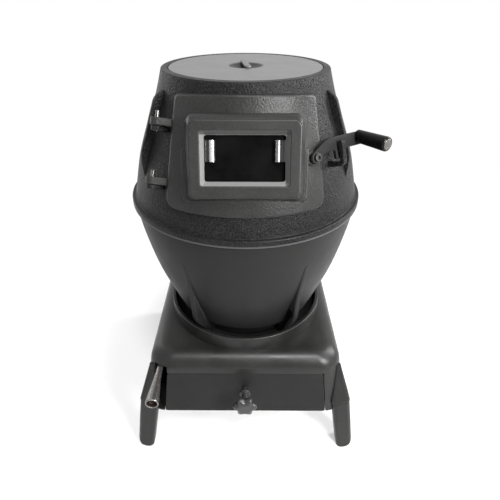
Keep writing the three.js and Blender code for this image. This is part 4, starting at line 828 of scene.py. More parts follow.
def window_box():
    """The drafted box: its front edge follows a quarter circle, and its top flares by 8 sin(t)^1.5 over
    the first 14 of its depth.
    """
    edge, rings = 2.6, [(BOX_HALF - 4, BOX_LOW + 4, BOX_HIGH - 4, 6.0, 0.0)]
    for a in np.linspace(0, math.pi / 2, 6):
        gone, level = edge * (1 - math.sin(a)), -edge * (1 - math.cos(a))
        rings.append((BOX_HALF - gone, BOX_LOW + gone, BOX_HIGH - gone, 8.5, level))
    for depth in (4, 6, 9, 12, 15, 20, 30, 46):
        grow = BOX_DRAFT * (depth - edge)
        flare = 8 * math.sin(min(1, depth / 14) * math.pi / 2) ** 1.5
        rings.append((BOX_HALF + grow, BOX_LOW - grow, BOX_HIGH + flare, 8.5 + grow / 2, -depth))
    return stacked(rings, BOX)


def door_pad():
    """The lower step round the box, with a quarter circle for its front edge and a slight draft."""
    half, low, high, face, edge = 82, -48, 23, 26, 2.4
    rings = [(half - 4, low + 4, high - 4, 6.0, -face)]
    for a in np.linspace(0, math.pi / 2, 6):
        gone, level = edge * (1 - math.sin(a)), -face - edge * (1 - math.cos(a))
        rings.append((half - gone, low + gone, high - gone, 8.5, level))
    for depth in (30, 46):
        grow = 0.1 * (depth - face - edge)
        rings.append((half + grow, low - grow, high + grow, 8.5, -depth))
    return stacked(rings, BOX)


def window_cut():
    """The window's opening from front to back: a softened mouth, the bevel, the glass's pocket, the lip
    and the hollow.
    """
    pocket, lip = (GLASS_HALF, GLASS_LOW, GLASS_HIGH, 3.0), (45, -15, 31, 3.0)
    rings = [(58.5, -28.5, 44.5, 4.0, 2.0), (56.3, -26.3, 42.3, 3.8, 0.0), (55.5, -25.5, 41.5, 3.6, -0.25)]
    rings += [(50.4, -20.4, 36.4, 3.1, -5.3), (*pocket, -5.8), (*pocket, -14.2), (*lip, -14.2), (*lip, -18.2)]
    rings += [(60.5, -32, 45, 5.0, -18.2), (66, -37, 50, 5.0, -64)]
    return stacked(rings, BOX)


def door_lug(mark):
    """The door's ear: the belt round the pin's end and its root on the plate."""
    return plate(belt((0, 0), 8.8, (19, 0), 4.5, 24), -14.5, -4.5, hinge_axes(mark), 1.5)


def rope_groove():
    """The groove in the door's back: its section's four corners set along insets of the outline."""
    corners = ((4, -1), (4, 4), (9.5, 4), (9.5, -1))
    return solid(np.stack([wrapped(door_outline(i), depth) for i, depth in corners]), wrap=True)


def door():
    """The door's casting: the window box, its step, the latch's boss and the ears, trimmed to the barrel,
    joined to the plate, and opened for the window, the rope, the latch's bolt and the pins.
    """
    body = united(window_box(), door_pad(), rod(12.5, -10, 3, PIVOT, 0.9, 64, 9.5))
    united(body, door_lug(UPPER_MARK), door_lug(LOWER_MARK))
    fill = np.vstack([[(0, 660), (122.4, 660)], BARREL[1:] + (DOOR_GAP, 0), [(181.8, 455), (0, 455)]])
    cut(body, turned(fill, segments=SEGMENTS))
    united(body, door_plate())
    cut(body, window_cut(), rope_groove())
    cut(body, rod(9.8, 3, 20, PIVOT), rod(PIVOT_BORE_R, -5, 8, PIVOT, segments=32))
    return cut(body, *hinge_bores())


def door_rope():
    """A rope round the door's back: an oval section of 4.4 by 2.8, whose surface swells and falls by 5 %
    along strands that wind round it 90 times.
    """
    count, around = 720, 20
    path = anticlockwise(resampled(door_outline(6.75), count))
    side = inset(path, 1.0) - path
    a = np.arange(around) * 2 * math.pi / around
    strand = np.cos(3 * a[None, :] + np.arange(count)[:, None] * 2 * math.pi * 90 / count)
    swell = 1 + 0.05 * strand
    rows = []
    for k in range(around):
        loop = path + side * (2.2 * math.cos(a[k]) * swell[:, k:k + 1])
        rows.append(wrapped(loop, DOOR_GAP + 1.9 + 1.4 * math.sin(a[k]) * swell[:, k]))
    return solid(np.stack(rows), wrap=True)


def door_glass():
    """The pane: rounded rectangles through its thickness, with its edges eased by 0.5."""
    pane = (GLASS_HALF - FIT, GLASS_LOW + FIT, GLASS_HIGH - FIT, 2.7)
    eased = (GLASS_HALF - 1, GLASS_LOW + 1, GLASS_HIGH - 1, 2.5)
    return stacked([
        (*eased, GLASS_BACK), (*pane, GLASS_BACK + 0.5), (*pane, GLASS_FRONT - 0.5), (*eased, GLASS_FRONT),
    ], BOX)


def glass_clip(side):
    """A bent spring strip: its section runs down the pocket's side, along the glass, and ends in a roll
    of radius 3.3; it is drawn out from 4 to 30 up the box's face.
    """
    a = np.linspace(-math.pi / 2, 1.3 * math.pi, 26)
    roll = np.column_stack([40.3 + 3.3 * np.cos(a), -6.1 + 3.3 * np.sin(a)])
    leaf = soften([(49.0, -5.9), (49.0, -8.8), (40.6, -8.8)], [0, 2, 0], 6, False)
    line = np.vstack([leaf[:-1], roll])
    way = np.gradient(line, axis=0)
    normal = np.column_stack([-way[:, 1], way[:, 0]]) / np.linalg.norm(way, axis=1)[:, None]
    outline = np.vstack([line + 0.65 * normal, (line - 0.65 * normal)[::-1]])
    origin, (right, up, out) = BOX
    return plate(outline, 4.0, 30.0, (origin, np.stack([side * right, out, up])), 0.2)


def hinge_pin(mark):
    """A rolled spring pin: an open ring of radius 2.6 over 1.4 with a slot down its front."""
    half = math.asin(0.55 / 2.6)
    a = np.linspace(-math.pi / 2 + half, 1.5 * math.pi - half, 40)
    unit = np.column_stack([np.cos(a), np.sin(a)])
    return plate(np.vstack([2.6 * unit, 1.4 * unit[::-1]]), -22, 4, hinge_axes(mark), 0.3)


# ---------------------------------------------------------------- latch handle


def handle_arm():
    """The flat arm: a wedge from the eye, a long bar and the tooth that the keeper holds; with its eye
    and the neck that the grip sits on.
    """
    outline = soften([
        (-8.5, 6), (17.5, 20.8), (HANDLE_REACH, 20.8), (HANDLE_REACH, 3.3), (42, 3.3), (42, -8.5),
        (29, -8.5), (29, 3.3), (13, 3.3), (1.5, -4),
    ], [3, 9, 3, 3, 2.5, 2.5, 2.5, 2.5, 5, 3], 8)
    arm = plate(outline, HANDLE_BACK, HANDLE_FRONT, LATCH, 1.1)
    united(arm, rod(7.6, HANDLE_BACK, HANDLE_FRONT, PIVOT, 0.9), rod(5.5, 0, 20, GRIP))
    return cut(arm, rod(PIVOT_BORE_R, HANDLE_BACK - 5, HANDLE_FRONT + 5, PIVOT, segments=32))


def handle_grip():
    """The turned sleeve, which swells towards its free end, with a seat for its cap, cut away where the
    arm passes.
    """
    start, end, seat = -6, 51, 49.5
    swell = soften([
        (8.2, start + 0.2), (8.6, 3), (8.9, 22), (9.5, 46), (9.45, 49.6), (7.3, end), (7.1, seat),
    ], [0, 2, 10, 4, 2.5, 0.6, 0], 8, False)
    profile = np.vstack([[(5.9, start), (8.0, start)], swell, [(5.8, seat), (5.8, 20)]])
    sleeve = turned(profile, GRIP, 96, wrap=True)
    return cut(sleeve, plate([(40, -22), (99, -22), (99, 40), (40, 40)], -12, HANDLE_FRONT + FIT, LATCH, 0))


def grip_cap():
    """The turned disc that closes the grip's end."""
    corners = [(0, 49.8), (6.8, 49.8), (6.8, 51.0), (4, 51.5), (0, 51.7)]
    return turned(soften(corners, [0, 0, 0.6, 2, 0], 5, False), GRIP)


def pivot_bolt():
    """The latch's bolt: a round head with a hexagonal socket, and a plain shank."""
    head = united(rod(5.6, 9.9, 13.9, PIVOT, 1.1, 48, 5.2), rod(3.2, -4, 10.9, PIVOT, segments=32))
    return cut(head, plate(circle(2.6, 6), 11.5, 15, PIVOT, 0))


def pivot_washer():
    """The ring under the bolt's head."""
    return cut(rod(7, 8.6, 9.6, PIVOT, 0.2), rod(PIVOT_BORE_R, 8, 10, PIVOT, segments=32))


# ---------------------------------------------------------------- materials


def grey(value, warm=0.0):
    """A grey in linear light, with its red raised and its blue lowered by a share."""
    return (value * (1 + warm), value, value * (1 - warm), 1.0)


def set_input(tree, socket, value):
    """Puts a value, or a link from another node, on a socket."""
    if isinstance(value, bpy.types.NodeSocket):
        tree.links.new(value, socket)
    else:
        socket.default_value = value


def add(tree, kind, inputs=(), **settings):
    """A node with its settings, and with values or links on its named inputs."""
    node = tree.nodes.new(kind)
    for key, value in settings.items():
        setattr(node, key, value)
    for key, value in dict(inputs).items():
        set_input(tree, node.inputs[key], value)
    return node


def group(name, inputs, outputs):
    """An empty shader group with its sockets; returns it with its input and output nodes."""
    tree = bpy.data.node_groups.new(name, "ShaderNodeTree")
    for label, kind, value in inputs:
        socket = tree.interface.new_socket(label, in_out="INPUT", socket_type=kind)
        if value is not None:
            socket.default_value = value
    for label, kind in outputs:
        tree.interface.new_socket(label, in_out="OUTPUT", socket_type=kind)
    return tree, tree.nodes.new("NodeGroupInput"), tree.nodes.new("NodeGroupOutput")


def noise(tree, vector, scale, detail=3.0, roughness=0.55):
    """A noise texture's value at a point."""
    node = add(tree, "ShaderNodeTexNoise", {
        "Vector": vector, "Scale": scale, "Detail": detail, "Roughness": roughness,
    })
    return node.outputs["Fac"]


def math_node(tree, operation, first, second=0.0):
    """The result of one operation on two numbers."""
    node = tree.nodes.new("ShaderNodeMath")
    node.operation = operation
    for socket, value in zip(node.inputs, (first, second)):
        set_input(tree, socket, value)
    return node.outputs[0]


def product(tree, first, *others):
    """All the numbers multiplied."""
    for other in others:
        first = math_node(tree, "MULTIPLY", first, other)
    return first


def spread(tree, value, low, high, to_low=0.0, to_high=1.0):
    """A number carried from one range to another and held at its ends."""
    node = add(tree, "ShaderNodeMapRange", {
        "Value": value, "From Min": low, "From Max": high, "To Min": to_low, "To Max": to_high,
    })
    return node.outputs["Result"]


def band(tree, value, rise, fall):
    """1 between two edges and 0 outside them; rise and fall say where each edge starts and ends."""
    return product(tree, spread(tree, value, *rise), spread(tree, value, *fall, 1.0, 0.0))


def mixed(tree, share, first, second):
    """A share of the second colour in the first."""
    node = add(tree, "ShaderNodeMix", data_type="RGBA")
    sockets = [s for s in node.inputs if s.type == "RGBA"]
    for socket, value in ((node.inputs["Factor"], share), (sockets[0], first), (sockets[1], second)):
        set_input(tree, socket, value)
    return next(s for s in node.outputs if s.type == "RGBA")


def coordinate(tree, at, axis):
    """One coordinate of a point."""
    return add(tree, "ShaderNodeSeparateXYZ", {0: at}).outputs[axis]


def distance_from(tree, at, centre, plane):
    """How far a point lies from an upright or level line: the length of (at - centre) times plane, which
    is 0 along the line and 1 across it.
    """
    off = add(tree, "ShaderNodeVectorMath", {0: at, 1: centre}, operation="SUBTRACT").outputs["Vector"]
    flat = add(tree, "ShaderNodeVectorMath", {0: off, 1: plane}, operation="MULTIPLY").outputs["Vector"]
    return add(tree, "ShaderNodeVectorMath", {0: flat}, operation="LENGTH").outputs["Value"]


def cast_group():
    """Sand-cast iron: a fine grain, wider waves, small pits, and blotches of paler and darker metal."""
    tree, source, result = group("Cast iron", [
        ("Vector", "NodeSocketVector", None), ("Grain", "NodeSocketFloat", 700.0),
        ("Dark", "NodeSocketColor", grey(0.02)), ("Pale", "NodeSocketColor", grey(0.05)),
        ("Roughness", "NodeSocketFloat", 0.5), ("Pits", "NodeSocketFloat", 0.4),
        ("Speckle", "NodeSocketFloat", 0.0),
    ], [("Color", "NodeSocketColor"), ("Roughness", "NodeSocketFloat"), ("Height", "NodeSocketFloat")])
    at, grain = source.outputs["Vector"], source.outputs["Grain"]
    fine = noise(tree, at, grain, 2.0, 0.6)
    wide = noise(tree, at, product(tree, grain, 0.23), 3.0)
    blotch = noise(tree, at, 16.0, 5.0, 0.6)
    cells = add(tree, "ShaderNodeTexVoronoi", {
        "Vector": at, "Scale": product(tree, grain, 0.4), "Randomness": 1.0,
    }, feature="F1")
    pit = spread(tree, cells.outputs["Distance"], 0.08, 0.3)
    deep = product(tree, math_node(tree, "SUBTRACT", pit, 1.0), source.outputs["Pits"])
    height = math_node(tree, "ADD", product(tree, wide, 0.4), fine)
    height = math_node(tree, "ADD", height, deep)
    tone = math_node(tree, "ADD", product(tree, fine, 0.45), product(tree, blotch, 0.75))
    soft = spread(tree, tone, 0.38, 0.82)
    hard = spread(tree, noise(tree, at, product(tree, grain, 1.3), 1.0), 0.42, 0.66)
    share = add(tree, "ShaderNodeMix", {"Factor": source.outputs["Speckle"], 2: soft, 3: hard}).outputs[0]
    color = mixed(tree, share, source.outputs["Dark"], source.outputs["Pale"])
    rough = math_node(tree, "ADD", source.outputs["Roughness"], spread(tree, blotch, 0.3, 0.7, -0.06, 0.09))
    tree.links.new(color, result.inputs["Color"])
    tree.links.new(rough, result.inputs["Roughness"])
    tree.links.new(height, result.inputs["Height"])
    return tree


def steel_group():
    """Worked steel: fine lines and a few faint stains."""
    tree, source, result = group("Worked steel", [
        ("Vector", "NodeSocketVector", None), ("Roughness", "NodeSocketFloat", 0.3),
        ("Dark", "NodeSocketColor", grey(0.3)), ("Pale", "NodeSocketColor", grey(0.6)),
    ], [("Color", "NodeSocketColor"), ("Roughness", "NodeSocketFloat"), ("Height", "NodeSocketFloat")])
    lines = noise(tree, source.outputs["Vector"], 900.0, 3.0, 0.6)
    stain = noise(tree, source.outputs["Vector"], 60.0, 4.0)
    tone = math_node(tree, "ADD", product(tree, lines, 0.6), product(tree, stain, 0.4))
    color = mixed(tree, spread(tree, tone, 0.35, 0.65), source.outputs["Dark"], source.outputs["Pale"])
    tree.links.new(color, result.inputs["Color"])
    rough = math_node(tree, "ADD", source.outputs["Roughness"], spread(tree, stain, 0.35, 0.65, -0.06, 0.1))
    tree.links.new(rough, result.inputs["Roughness"])
    tree.links.new(lines, result.inputs["Height"])
    return tree


def shader(name, effect_tree, values, metallic, bump, gloss=0.5, coat=0.0):
    """A Principled material fed by a group in Object coordinates, with its height as a bump."""
    material = bpy.data.materials.new(name)
    material.use_nodes = True
    tree = material.node_tree
    principled = tree.nodes["Principled BSDF"]
    at = tree.nodes.new("ShaderNodeTexCoord").outputs["Object"]
    effect = tree.nodes.new("ShaderNodeGroup")
    effect.node_tree = effect_tree
    tree.links.new(at, effect.inputs["Vector"])
    for key, value in values.items():
        effect.inputs[key].default_value = value
    raised = add(tree, "ShaderNodeBump", {
        "Height": effect.outputs["Height"], "Strength": 1.0, "Distance": bump,
    })
    tree.links.new(effect.outputs["Color"], principled.inputs["Base Color"])
    tree.links.new(effect.outputs["Roughness"], principled.inputs["Roughness"])
    tree.links.new(raised.outputs["Normal"], principled.inputs["Normal"])
    principled.inputs["Metallic"].default_value = metallic
    principled.inputs["Coat Weight"].default_value = coat
    principled.inputs["Specular IOR Level"].default_value = gloss
    return material


def parts(material):
    """A material's tree, its Principled node, its effect group and its Object coordinates."""
    tree = material.node_tree
    at = tree.nodes["Texture Coordinate"].outputs["Object"]
    return tree, tree.nodes["Principled BSDF"], tree.nodes["Group"], at


def tint(tree, principled, effect, share, color):
    """Lays a share of a colour over the effect's own."""
    over = mixed(tree, share, effect.outputs["Color"], color)
    tree.links.new(over, principled.inputs["Base Color"])


def fade_bump(tree, effect, share):
    """Keeps a share of the effect's height."""
    tree.links.new(product(tree, effect.outputs["Height"], share), tree.nodes["Bump"].inputs["Height"])


def distance_along(tree, axes, which, at):
    """How far a point lies along an axis, in metres: its dot product with it, less the origin's."""
    origin, basis = axes
    ahead = add(tree, "ShaderNodeVectorMath", {0: at, 1: tuple(basis[which])}, operation="DOT_PRODUCT")
    return math_node(tree, "SUBTRACT", ahead.outputs["Value"], float(origin @ basis[which]) * MM)


def door_material(effect_tree, values, bump, gloss):
    """The door's casting: grain on its plate, a smooth box, and a painted highlight on the bevel round the
    window, strongest on its left and lower sides. Distances are metres along the box's axes.
    """
    material = shader("door_cast", effect_tree, values, 0.0, bump, gloss)
    tree, principled, effect, at = parts(material)
    ahead, rise = distance_along(tree, BOX, 2, at), distance_along(tree, BOX, 1, at)
    sideways = coordinate(tree, at, "X")
    fade_bump(tree, effect, spread(tree, ahead, -0.010, -0.006, 0.6, 0.1))
    across = spread(tree, math_node(tree, "ABSOLUTE", sideways), 0.0575, 0.0585, 1.0, 0.0)
    upwards = band(tree, rise, (-0.028, -0.0275), (0.0435, 0.044))
    deep = band(tree, ahead, (-0.0065, -0.0062), (-0.0009, -0.0005))
    upper = spread(tree, rise, 0.0358, 0.0368, 1.0, 0.2)
    right = spread(tree, sideways, 0.0498, 0.0508, 1.0, 0.3)
    # Painted highlight on the window's bevel: lightest on its left and lower sides, fainter on its upper and
    # right ones.
    painted_bevel_highlight = product(tree, across, upwards, deep, upper, right)
    tint(tree, principled, effect, painted_bevel_highlight, grey(0.16, 0.01))
    return material


def barrel_material(effect_tree, values, bump, gloss):
    """The barrel's rough casting, which turns smooth on its bead, with a painted highlight along the bead's
    lower edge.
    """
    material = shader("barrel_cast", effect_tree, values, 0.0, bump, gloss)
    tree, principled, effect, at = parts(material)
    height = coordinate(tree, at, "Z")
    fade_bump(tree, effect, spread(tree, height, 0.464, 0.482, 0.08, 1.0))
    # Painted highlight: a lighter band along the bead's lower edge.
    painted_bead_highlight = spread(tree, height, 0.4545, 0.4565, 0.75, 0.0)
    tint(tree, principled, effect, painted_bead_highlight, grey(0.075))
    return material


def painted_shade_material(name, effect_tree, values, bump, gloss, reach, fade):
    """A casting with painted shade inside a radius: fully dark below the lower height of fade, and not at all
    above the upper one.
    """
    material = shader(name, effect_tree, values, 0.0, bump, gloss)
    tree, principled, effect, at = parts(material)
    out = distance_from(tree, at, (0, 0, 0), (1, 1, 0))
    low = spread(tree, coordinate(tree, at, "Z"), *fade, 1.0, 0.0)
    # Painted shade: darkens the casting inside the radius, fully below the fade and fading out above it.
    painted_shade = product(tree, low, spread(tree, out, reach, reach + 0.0008, 1.0, 0.0))
    tint(tree, principled, effect, painted_shade, grey(0.002))
    matt = math_node(tree, "MAXIMUM", effect.outputs["Roughness"], painted_shade)
    tree.links.new(matt, principled.inputs["Roughness"])
    return material


def rod_material(effect_tree, values):
    """Worn dark steel, with a brown painted shade inside the shaker rod's hollow end."""
    material = shader("rod_steel", effect_tree, values, 0.8, 0.000001)
    tree, principled, effect, at = parts(material)
    out = distance_from(tree, at, (ROD_X * MM, 0, ROD_Z * MM), (1, 0, 1))
    front = spread(tree, coordinate(tree, at, "Y"), -0.21, -0.209, 1.0, 0.0)
    # Painted shade: a brown darkening inside the hollow hand end.
    end = product(tree, spread(tree, out, 0.0084, 0.0088, 1.0, 0.0), front)
    tint(tree, principled, effect, end, (0.05, 0.036, 0.03, 1))
    return material


def clip_material(effect_tree):
    """The clips' spring steel: bright on the roll, with painted shade on the leaf behind it and on the right
    clip.
    """
    values = {"Dark": grey(0.5), "Pale": grey(0.66), "Roughness": 0.3}
    material = shader("clip_steel", effect_tree, values, 1.0, 0.000002)
    tree, principled, effect, at = parts(material)
    sideways = coordinate(tree, at, "X")
    # Painted shade: the leaf behind the roll is nearly black.
    leaf = spread(tree, math_node(tree, "ABSOLUTE", sideways), 0.0436, 0.0442)
    # Painted shade: the right clip's roll is greyer than the left one's.
    roll = mixed(tree, spread(tree, sideways, 0, 0.001), effect.outputs["Color"], grey(0.2))
    tree.links.new(mixed(tree, leaf, roll, grey(0.05)), principled.inputs["Base Color"])
    return material


def lid_material(effect_tree, values, bump, tone):
    """The lid's pale casting, with painted shade in its socket and a dark line round its edge."""
    material = shader("lid_cast", effect_tree, values, 0.0, bump, 0.5)
    tree, principled, effect, at = parts(material)
    out = distance_from(tree, at, (0, 0, 0), (1, 1, 0))
    # Painted shade in the socket under the lift bar.
    painted_socket_shade = spread(tree, out, 0.0235, 0.0262, 1.0, 0.0)
    dark = math_node(tree, "MAXIMUM", painted_socket_shade, spread(tree, out, 0.1106, 0.1112))
    tint(tree, principled, effect, dark, grey(tone * 0.06))
    return material


def glass_material():
    """Heat-proof glass, opaque and nearly black as painted shade for the dark inside of the stove behind it,
    with a faint smoky film.
    """
    material = bpy.data.materials.new("stove_glass")
    material.use_nodes = True
    tree = material.node_tree
    principled = tree.nodes["Principled BSDF"]
    at = tree.nodes.new("ShaderNodeTexCoord").outputs["Object"]
    film = spread(tree, noise(tree, at, 30.0, 5.0), 0.35, 0.75)
    # Painted shade: the pane is nearly black, standing for the dark inside of the stove behind it.
    tree.links.new(mixed(tree, film, grey(0.002), grey(0.006)), principled.inputs["Base Color"])
    tree.links.new(spread(tree, film, 0, 1, 0.06, 0.2), principled.inputs["Roughness"])
    principled.inputs["Specular IOR Level"].default_value = 0.015
    return material


def rope_material(tone):
    """Braided rope: matt fibres in two greys."""
    material = bpy.data.materials.new("rope")
    material.use_nodes = True
    tree = material.node_tree
    principled = tree.nodes["Principled BSDF"]
    at = tree.nodes.new("ShaderNodeTexCoord").outputs["Object"]
    fibre = noise(tree, at, 1400.0, 4.0)
    color = mixed(tree, fibre, grey(tone * 0.5, 0.05), grey(tone, 0.05))
    tree.links.new(color, principled.inputs["Base Color"])
    raised = add(tree, "ShaderNodeBump", {"Height": fibre, "Strength": 0.8, "Distance": 0.0003})
    tree.links.new(raised.outputs["Normal"], principled.inputs["Normal"])
    principled.inputs["Roughness"].default_value = 0.95
    return material


def build_materials(sizes):
    """Every finish of the stove, by its name."""
    cast, steel = cast_group(), steel_group()
    tone, lid_tone, grain = sizes.iron_tone, sizes.lid_tone, sizes.grain_depth * MM

    def greys(dark, pale, warm, roughness, more=()):
        """A group's values: two greys that share a warmth, a roughness, and any others."""
        return {"Dark": grey(dark, warm), "Pale": grey(pale, warm), "Roughness": roughness, **dict(more)}

    satin = {"Grain": 520.0, "Pits": 0.15, "Speckle": 0.3}
    matte = {"Grain": 620.0, "Pits": 0.1, "Speckle": 0.2}
    rough = {"Grain": 430.0, "Pits": 0.5, "Speckle": 0.75}
    fine = {"Grain": 900.0, "Pits": 0.1}
    base = {**satin, "Pits": 0.1}
    plate_grain = {"Grain": 460.0, "Pits": 0.2, "Speckle": 0.5}
    matte_iron = greys(tone * 0.4, tone * 0.65, 0.01, 0.46, matte)
    return {
        "cast_satin": shader(
            "cast_satin", cast, greys(tone * 0.4, tone * 0.8, 0.02, 0.34, satin), 0.0, grain * 0.3, 0.2),
        "cast_matte": shader("cast_matte", cast, matte_iron, 0.0, grain * 0.12, 0.1),
        "cast_rough": shader(
            "cast_rough", cast, greys(tone * 0.05, tone * 0.9, 0.0, 0.42, rough), 0.0, grain * 1.2, 0.1),
        "barrel_cast": barrel_material(
            cast, greys(tone * 0.05, tone * 0.9, 0.0, 0.4, rough), grain * 1.25, 0.12),
        # The base gets painted shade inside its collar.
        "base_cast": painted_shade_material(
            "base_cast", cast, greys(tone * 0.2, tone * 0.6, 0.03, 0.33, base), grain * 0.14, 0.3,
            reach=0.1365, fade=(0.2385, 0.2395)),
        # The bowl gets painted shade on its lower part, where it sits in the collar.
        "bowl_cast": painted_shade_material(
            "bowl_cast", cast, matte_iron, grain * 0.12, 0.12, reach=0.2, fade=(0.236, 0.32)),
        "lid_cast": lid_material(
            cast, greys(lid_tone * 0.85, lid_tone * 1.12, 0.0, 0.45, fine), grain * 0.12, lid_tone),
        "lift_cast": shader(
            "lift_cast", cast, greys(lid_tone * 0.5, lid_tone * 0.9, 0.0, 0.4, fine), 0.0, grain * 0.12),
        "door_cast": door_material(
            cast, greys(tone * 0.35, tone, 0.02, 0.36, plate_grain), grain, 0.26),
        "knob_cast": shader(
            "knob_cast", cast, greys(tone * 0.5, tone, 0.0, 0.28, fine), 0.0, grain * 0.12, 0.42),
        "clip_steel": clip_material(steel),
        "dark_steel": shader("dark_steel", steel, greys(0.025, 0.055, 0.0, 0.38), 0.6, 0.00001),
        "rod_steel": rod_material(steel, greys(0.15, 0.19, 0.04, 0.28)),
        "bright_steel": shader("bright_steel", steel, greys(0.42, 0.62, 0.0, 0.28), 1.0, 0.00002),
        "grip_gloss": shader("grip_gloss", steel, greys(0.003, 0.006, 0.0, 0.3), 0.0, 0.000005, 0.1, 0.05),
        "stove_glass": glass_material(),
        "rope": rope_material(0.22),
    }


# ---------------------------------------------------------------- pieces by group


def build_base(finish):
    """The base casting and its legs."""
    piece(base_casting(), "base", "stove", ["base_casting"], finish["base_cast"])
    for name, side in LEGS.items():
        piece(leg(side), f"leg_{name}", "stove", [f"leg_{name}"], finish["cast_satin"])


def build_bowl(finish):
    """The fire bowl."""
    piece(fire_bowl(), "bowl", "stove", ["fire_bowl"], finish["bowl_cast"])


def build_barrel(finish):
    """The barrel, the flue's collar and bolts, and the hinge pins."""
    piece(upper_barrel(), "barrel", "stove", ["upper_barrel"], finish["barrel_cast"])
    piece(flue_collar(), "flue", "stove", ["flue_collar"], finish["cast_rough"])
    for i in range(3):
        piece(flue_bolt(i), f"flue_bolt_head_{i + 1}", "stove", [f"flue_bolt_{i + 1}"],
              finish["bright_steel"])
    for name, mark in (("upper", UPPER_MARK), ("lower", LOWER_MARK)):
        piece(hinge_pin(mark), f"pin_{name}", "stove", [f"hinge_pin_{name}"],
              finish["rod_steel"])


def build_door(finish):
    """The door with its pane, rope and clips."""
    piece(door(), "door_casting", "door", ["door"], finish["door_cast"])
    piece(door_glass(), "window", "door", ["door_glass"], finish["stove_glass"])
    piece(door_rope(), "rope_seal", "door", ["door_rope_seal"], finish["rope"])
    for name, side in (("left", -1), ("right", 1)):
        piece(glass_clip(side), f"clip_{name}", "door", [f"glass_clip_{name}"],
              finish["clip_steel"])


def build_latch(finish):
    """The latch's arm, grip and cap, and the bolt and washer that stay on the door."""
    piece(handle_arm(), "latch_arm", "handle", ["handle_arm"], finish["cast_matte"])
    piece(handle_grip(), "latch_grip", "handle", ["handle_grip"], finish["grip_gloss"])
    piece(grip_cap(), "latch_grip_cap", "handle", ["handle_grip_cap"], finish["rod_steel"])
    piece(pivot_bolt(), "latch_bolt", "door", ["handle_pivot_bolt"], finish["dark_steel"])
    piece(pivot_washer(), "latch_washer", "door", ["handle_washer"], finish["dark_steel"])


def build_lid(finish):
    """The lid and the bar that lifts it."""
    piece(lid(), "lid_disc", "lid", ["lid"], finish["lid_cast"])
    piece(lift_bar(), "lid_bar", "lid", ["lid_lift_bar"], finish["lift_cast"])


def build_drawer(finish):
    """The drawer's front and its knob."""
    piece(drawer_front(), "drawer_face", "drawer", ["drawer_front"], finish["cast_matte"])
    piece(star_knob(), "knob", "knob", ["star_knob"], finish["knob_cast"])
    piece(knob_stem(), "knob_shank", "knob", ["knob_stem"], finish["dark_steel"])


def build_shaker(finish):
    """The shaker's rod."""
    piece(shaker_rod(), "shaker_bar", "shaker", ["shaker_rod"], finish["rod_steel"])


CARRIED = {
    "belly_seal": "rope", "grate_frame": "cast_rough", "grate": "cast_rough", "grate_arm": "dark_steel",
    "grate_nut": "bright_steel", "ash_pan": "dark_steel", "knob_nut": "bright_steel",
    **{f"leg_stud_{name}": "bright_steel" for name in LEGS},
}


def dress_hidden(finish):
    """Gives the CAD nodes that stay as they are their finishes, on the objects' own slots."""
    for name, slot in CARRIED.items():
        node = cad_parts[name]
        for holder in node.material_slots:
            holder.link = "OBJECT"
            holder.material = finish[slot]


# ---------------------------------------------------------------- stage


def lamp(kind, name, place, aim, power, **shape):
    """A lamp at a place that shines towards its aim."""
    data = bpy.data.lights.new(name, kind)
    data.energy = power
    for key, value in shape.items():
        setattr(data, key, value)
    obj = bpy.data.objects.new(name, data)
    bpy.context.scene.collection.objects.link(obj)
    x, y, z = np.asarray(aim, float) - np.asarray(place, float)
    obj.location = place
    obj.rotation_euler = (math.atan2(math.hypot(x, y), -z), 0, math.atan2(y, x) - math.pi / 2)
    return obj


def seen_directly(tree):
    """1 for camera, glossy and transmitted rays, 0 for the rest."""
    path = tree.nodes.new("ShaderNodeLightPath")
    either = math_node(tree, "MAXIMUM", path.outputs["Is Camera Ray"], path.outputs["Is Glossy Ray"])
    return math_node(tree, "MAXIMUM", either, path.outputs["Is Transmission Ray"])


def white_floor():
    """A white floor that keeps the shadow, and fades to plain white with the distance from the object."""
    half, level = 4.0, -0.0005
    mesh = bpy.data.meshes.new("floor")
    corners = [(-half, -half, level), (half, -half, level), (half, half, level), (-half, half, level)]
    mesh.from_pydata(corners, [], [(0, 1, 2, 3)])
    floor = bpy.data.objects.new("floor", mesh)
    bpy.context.scene.collection.objects.link(floor)
    material = bpy.data.materials.new("floor")
    material.use_nodes = True
    tree = material.node_tree
    principled = tree.nodes["Principled BSDF"]
    principled.inputs["Base Color"].default_value = (0.97, 0.97, 0.97, 1)
    principled.inputs["Roughness"].default_value = 1.0
    principled.inputs["Specular IOR Level"].default_value = 0.0
    white = add(tree, "ShaderNodeEmission", {"Color": (1, 1, 1, 1), "Strength": 1.0})
    at = tree.nodes.new("ShaderNodeTexCoord").outputs["Object"]
    away = add(tree, "ShaderNodeVectorMath", {0: at}, operation="LENGTH").outputs["Value"]
    share = product(tree, seen_directly(tree), spread(tree, away, 0.5, 1.8, 0.5, 1.0))
    mix = add(tree, "ShaderNodeMixShader", {0: share, 1: principled.outputs[0], 2: white.outputs[0]})
    tree.links.new(mix.outputs[0], tree.nodes["Material Output"].inputs["Surface"])
    mesh.materials.append(material)
    return floor


def white_surround(strength):
    """A world that lights the object at a strength, and is plain white where it is seen."""
    world = bpy.data.worlds.new("surround")
    world.use_nodes = True
    tree = world.node_tree
    around = tree.nodes["Background"]
    around.inputs["Color"].default_value = (1, 1, 1, 1)
    around.inputs["Strength"].default_value = strength
    plain = add(tree, "ShaderNodeBackground", {"Color": (1, 1, 1, 1), "Strength": 1.0})
    seen = seen_directly(tree)
    mix = add(tree, "ShaderNodeMixShader", {0: seen, 1: around.outputs[0], 2: plain.outputs[0]})
    tree.links.new(mix.outputs[0], tree.nodes["World Output"].inputs["Surface"])
    return world


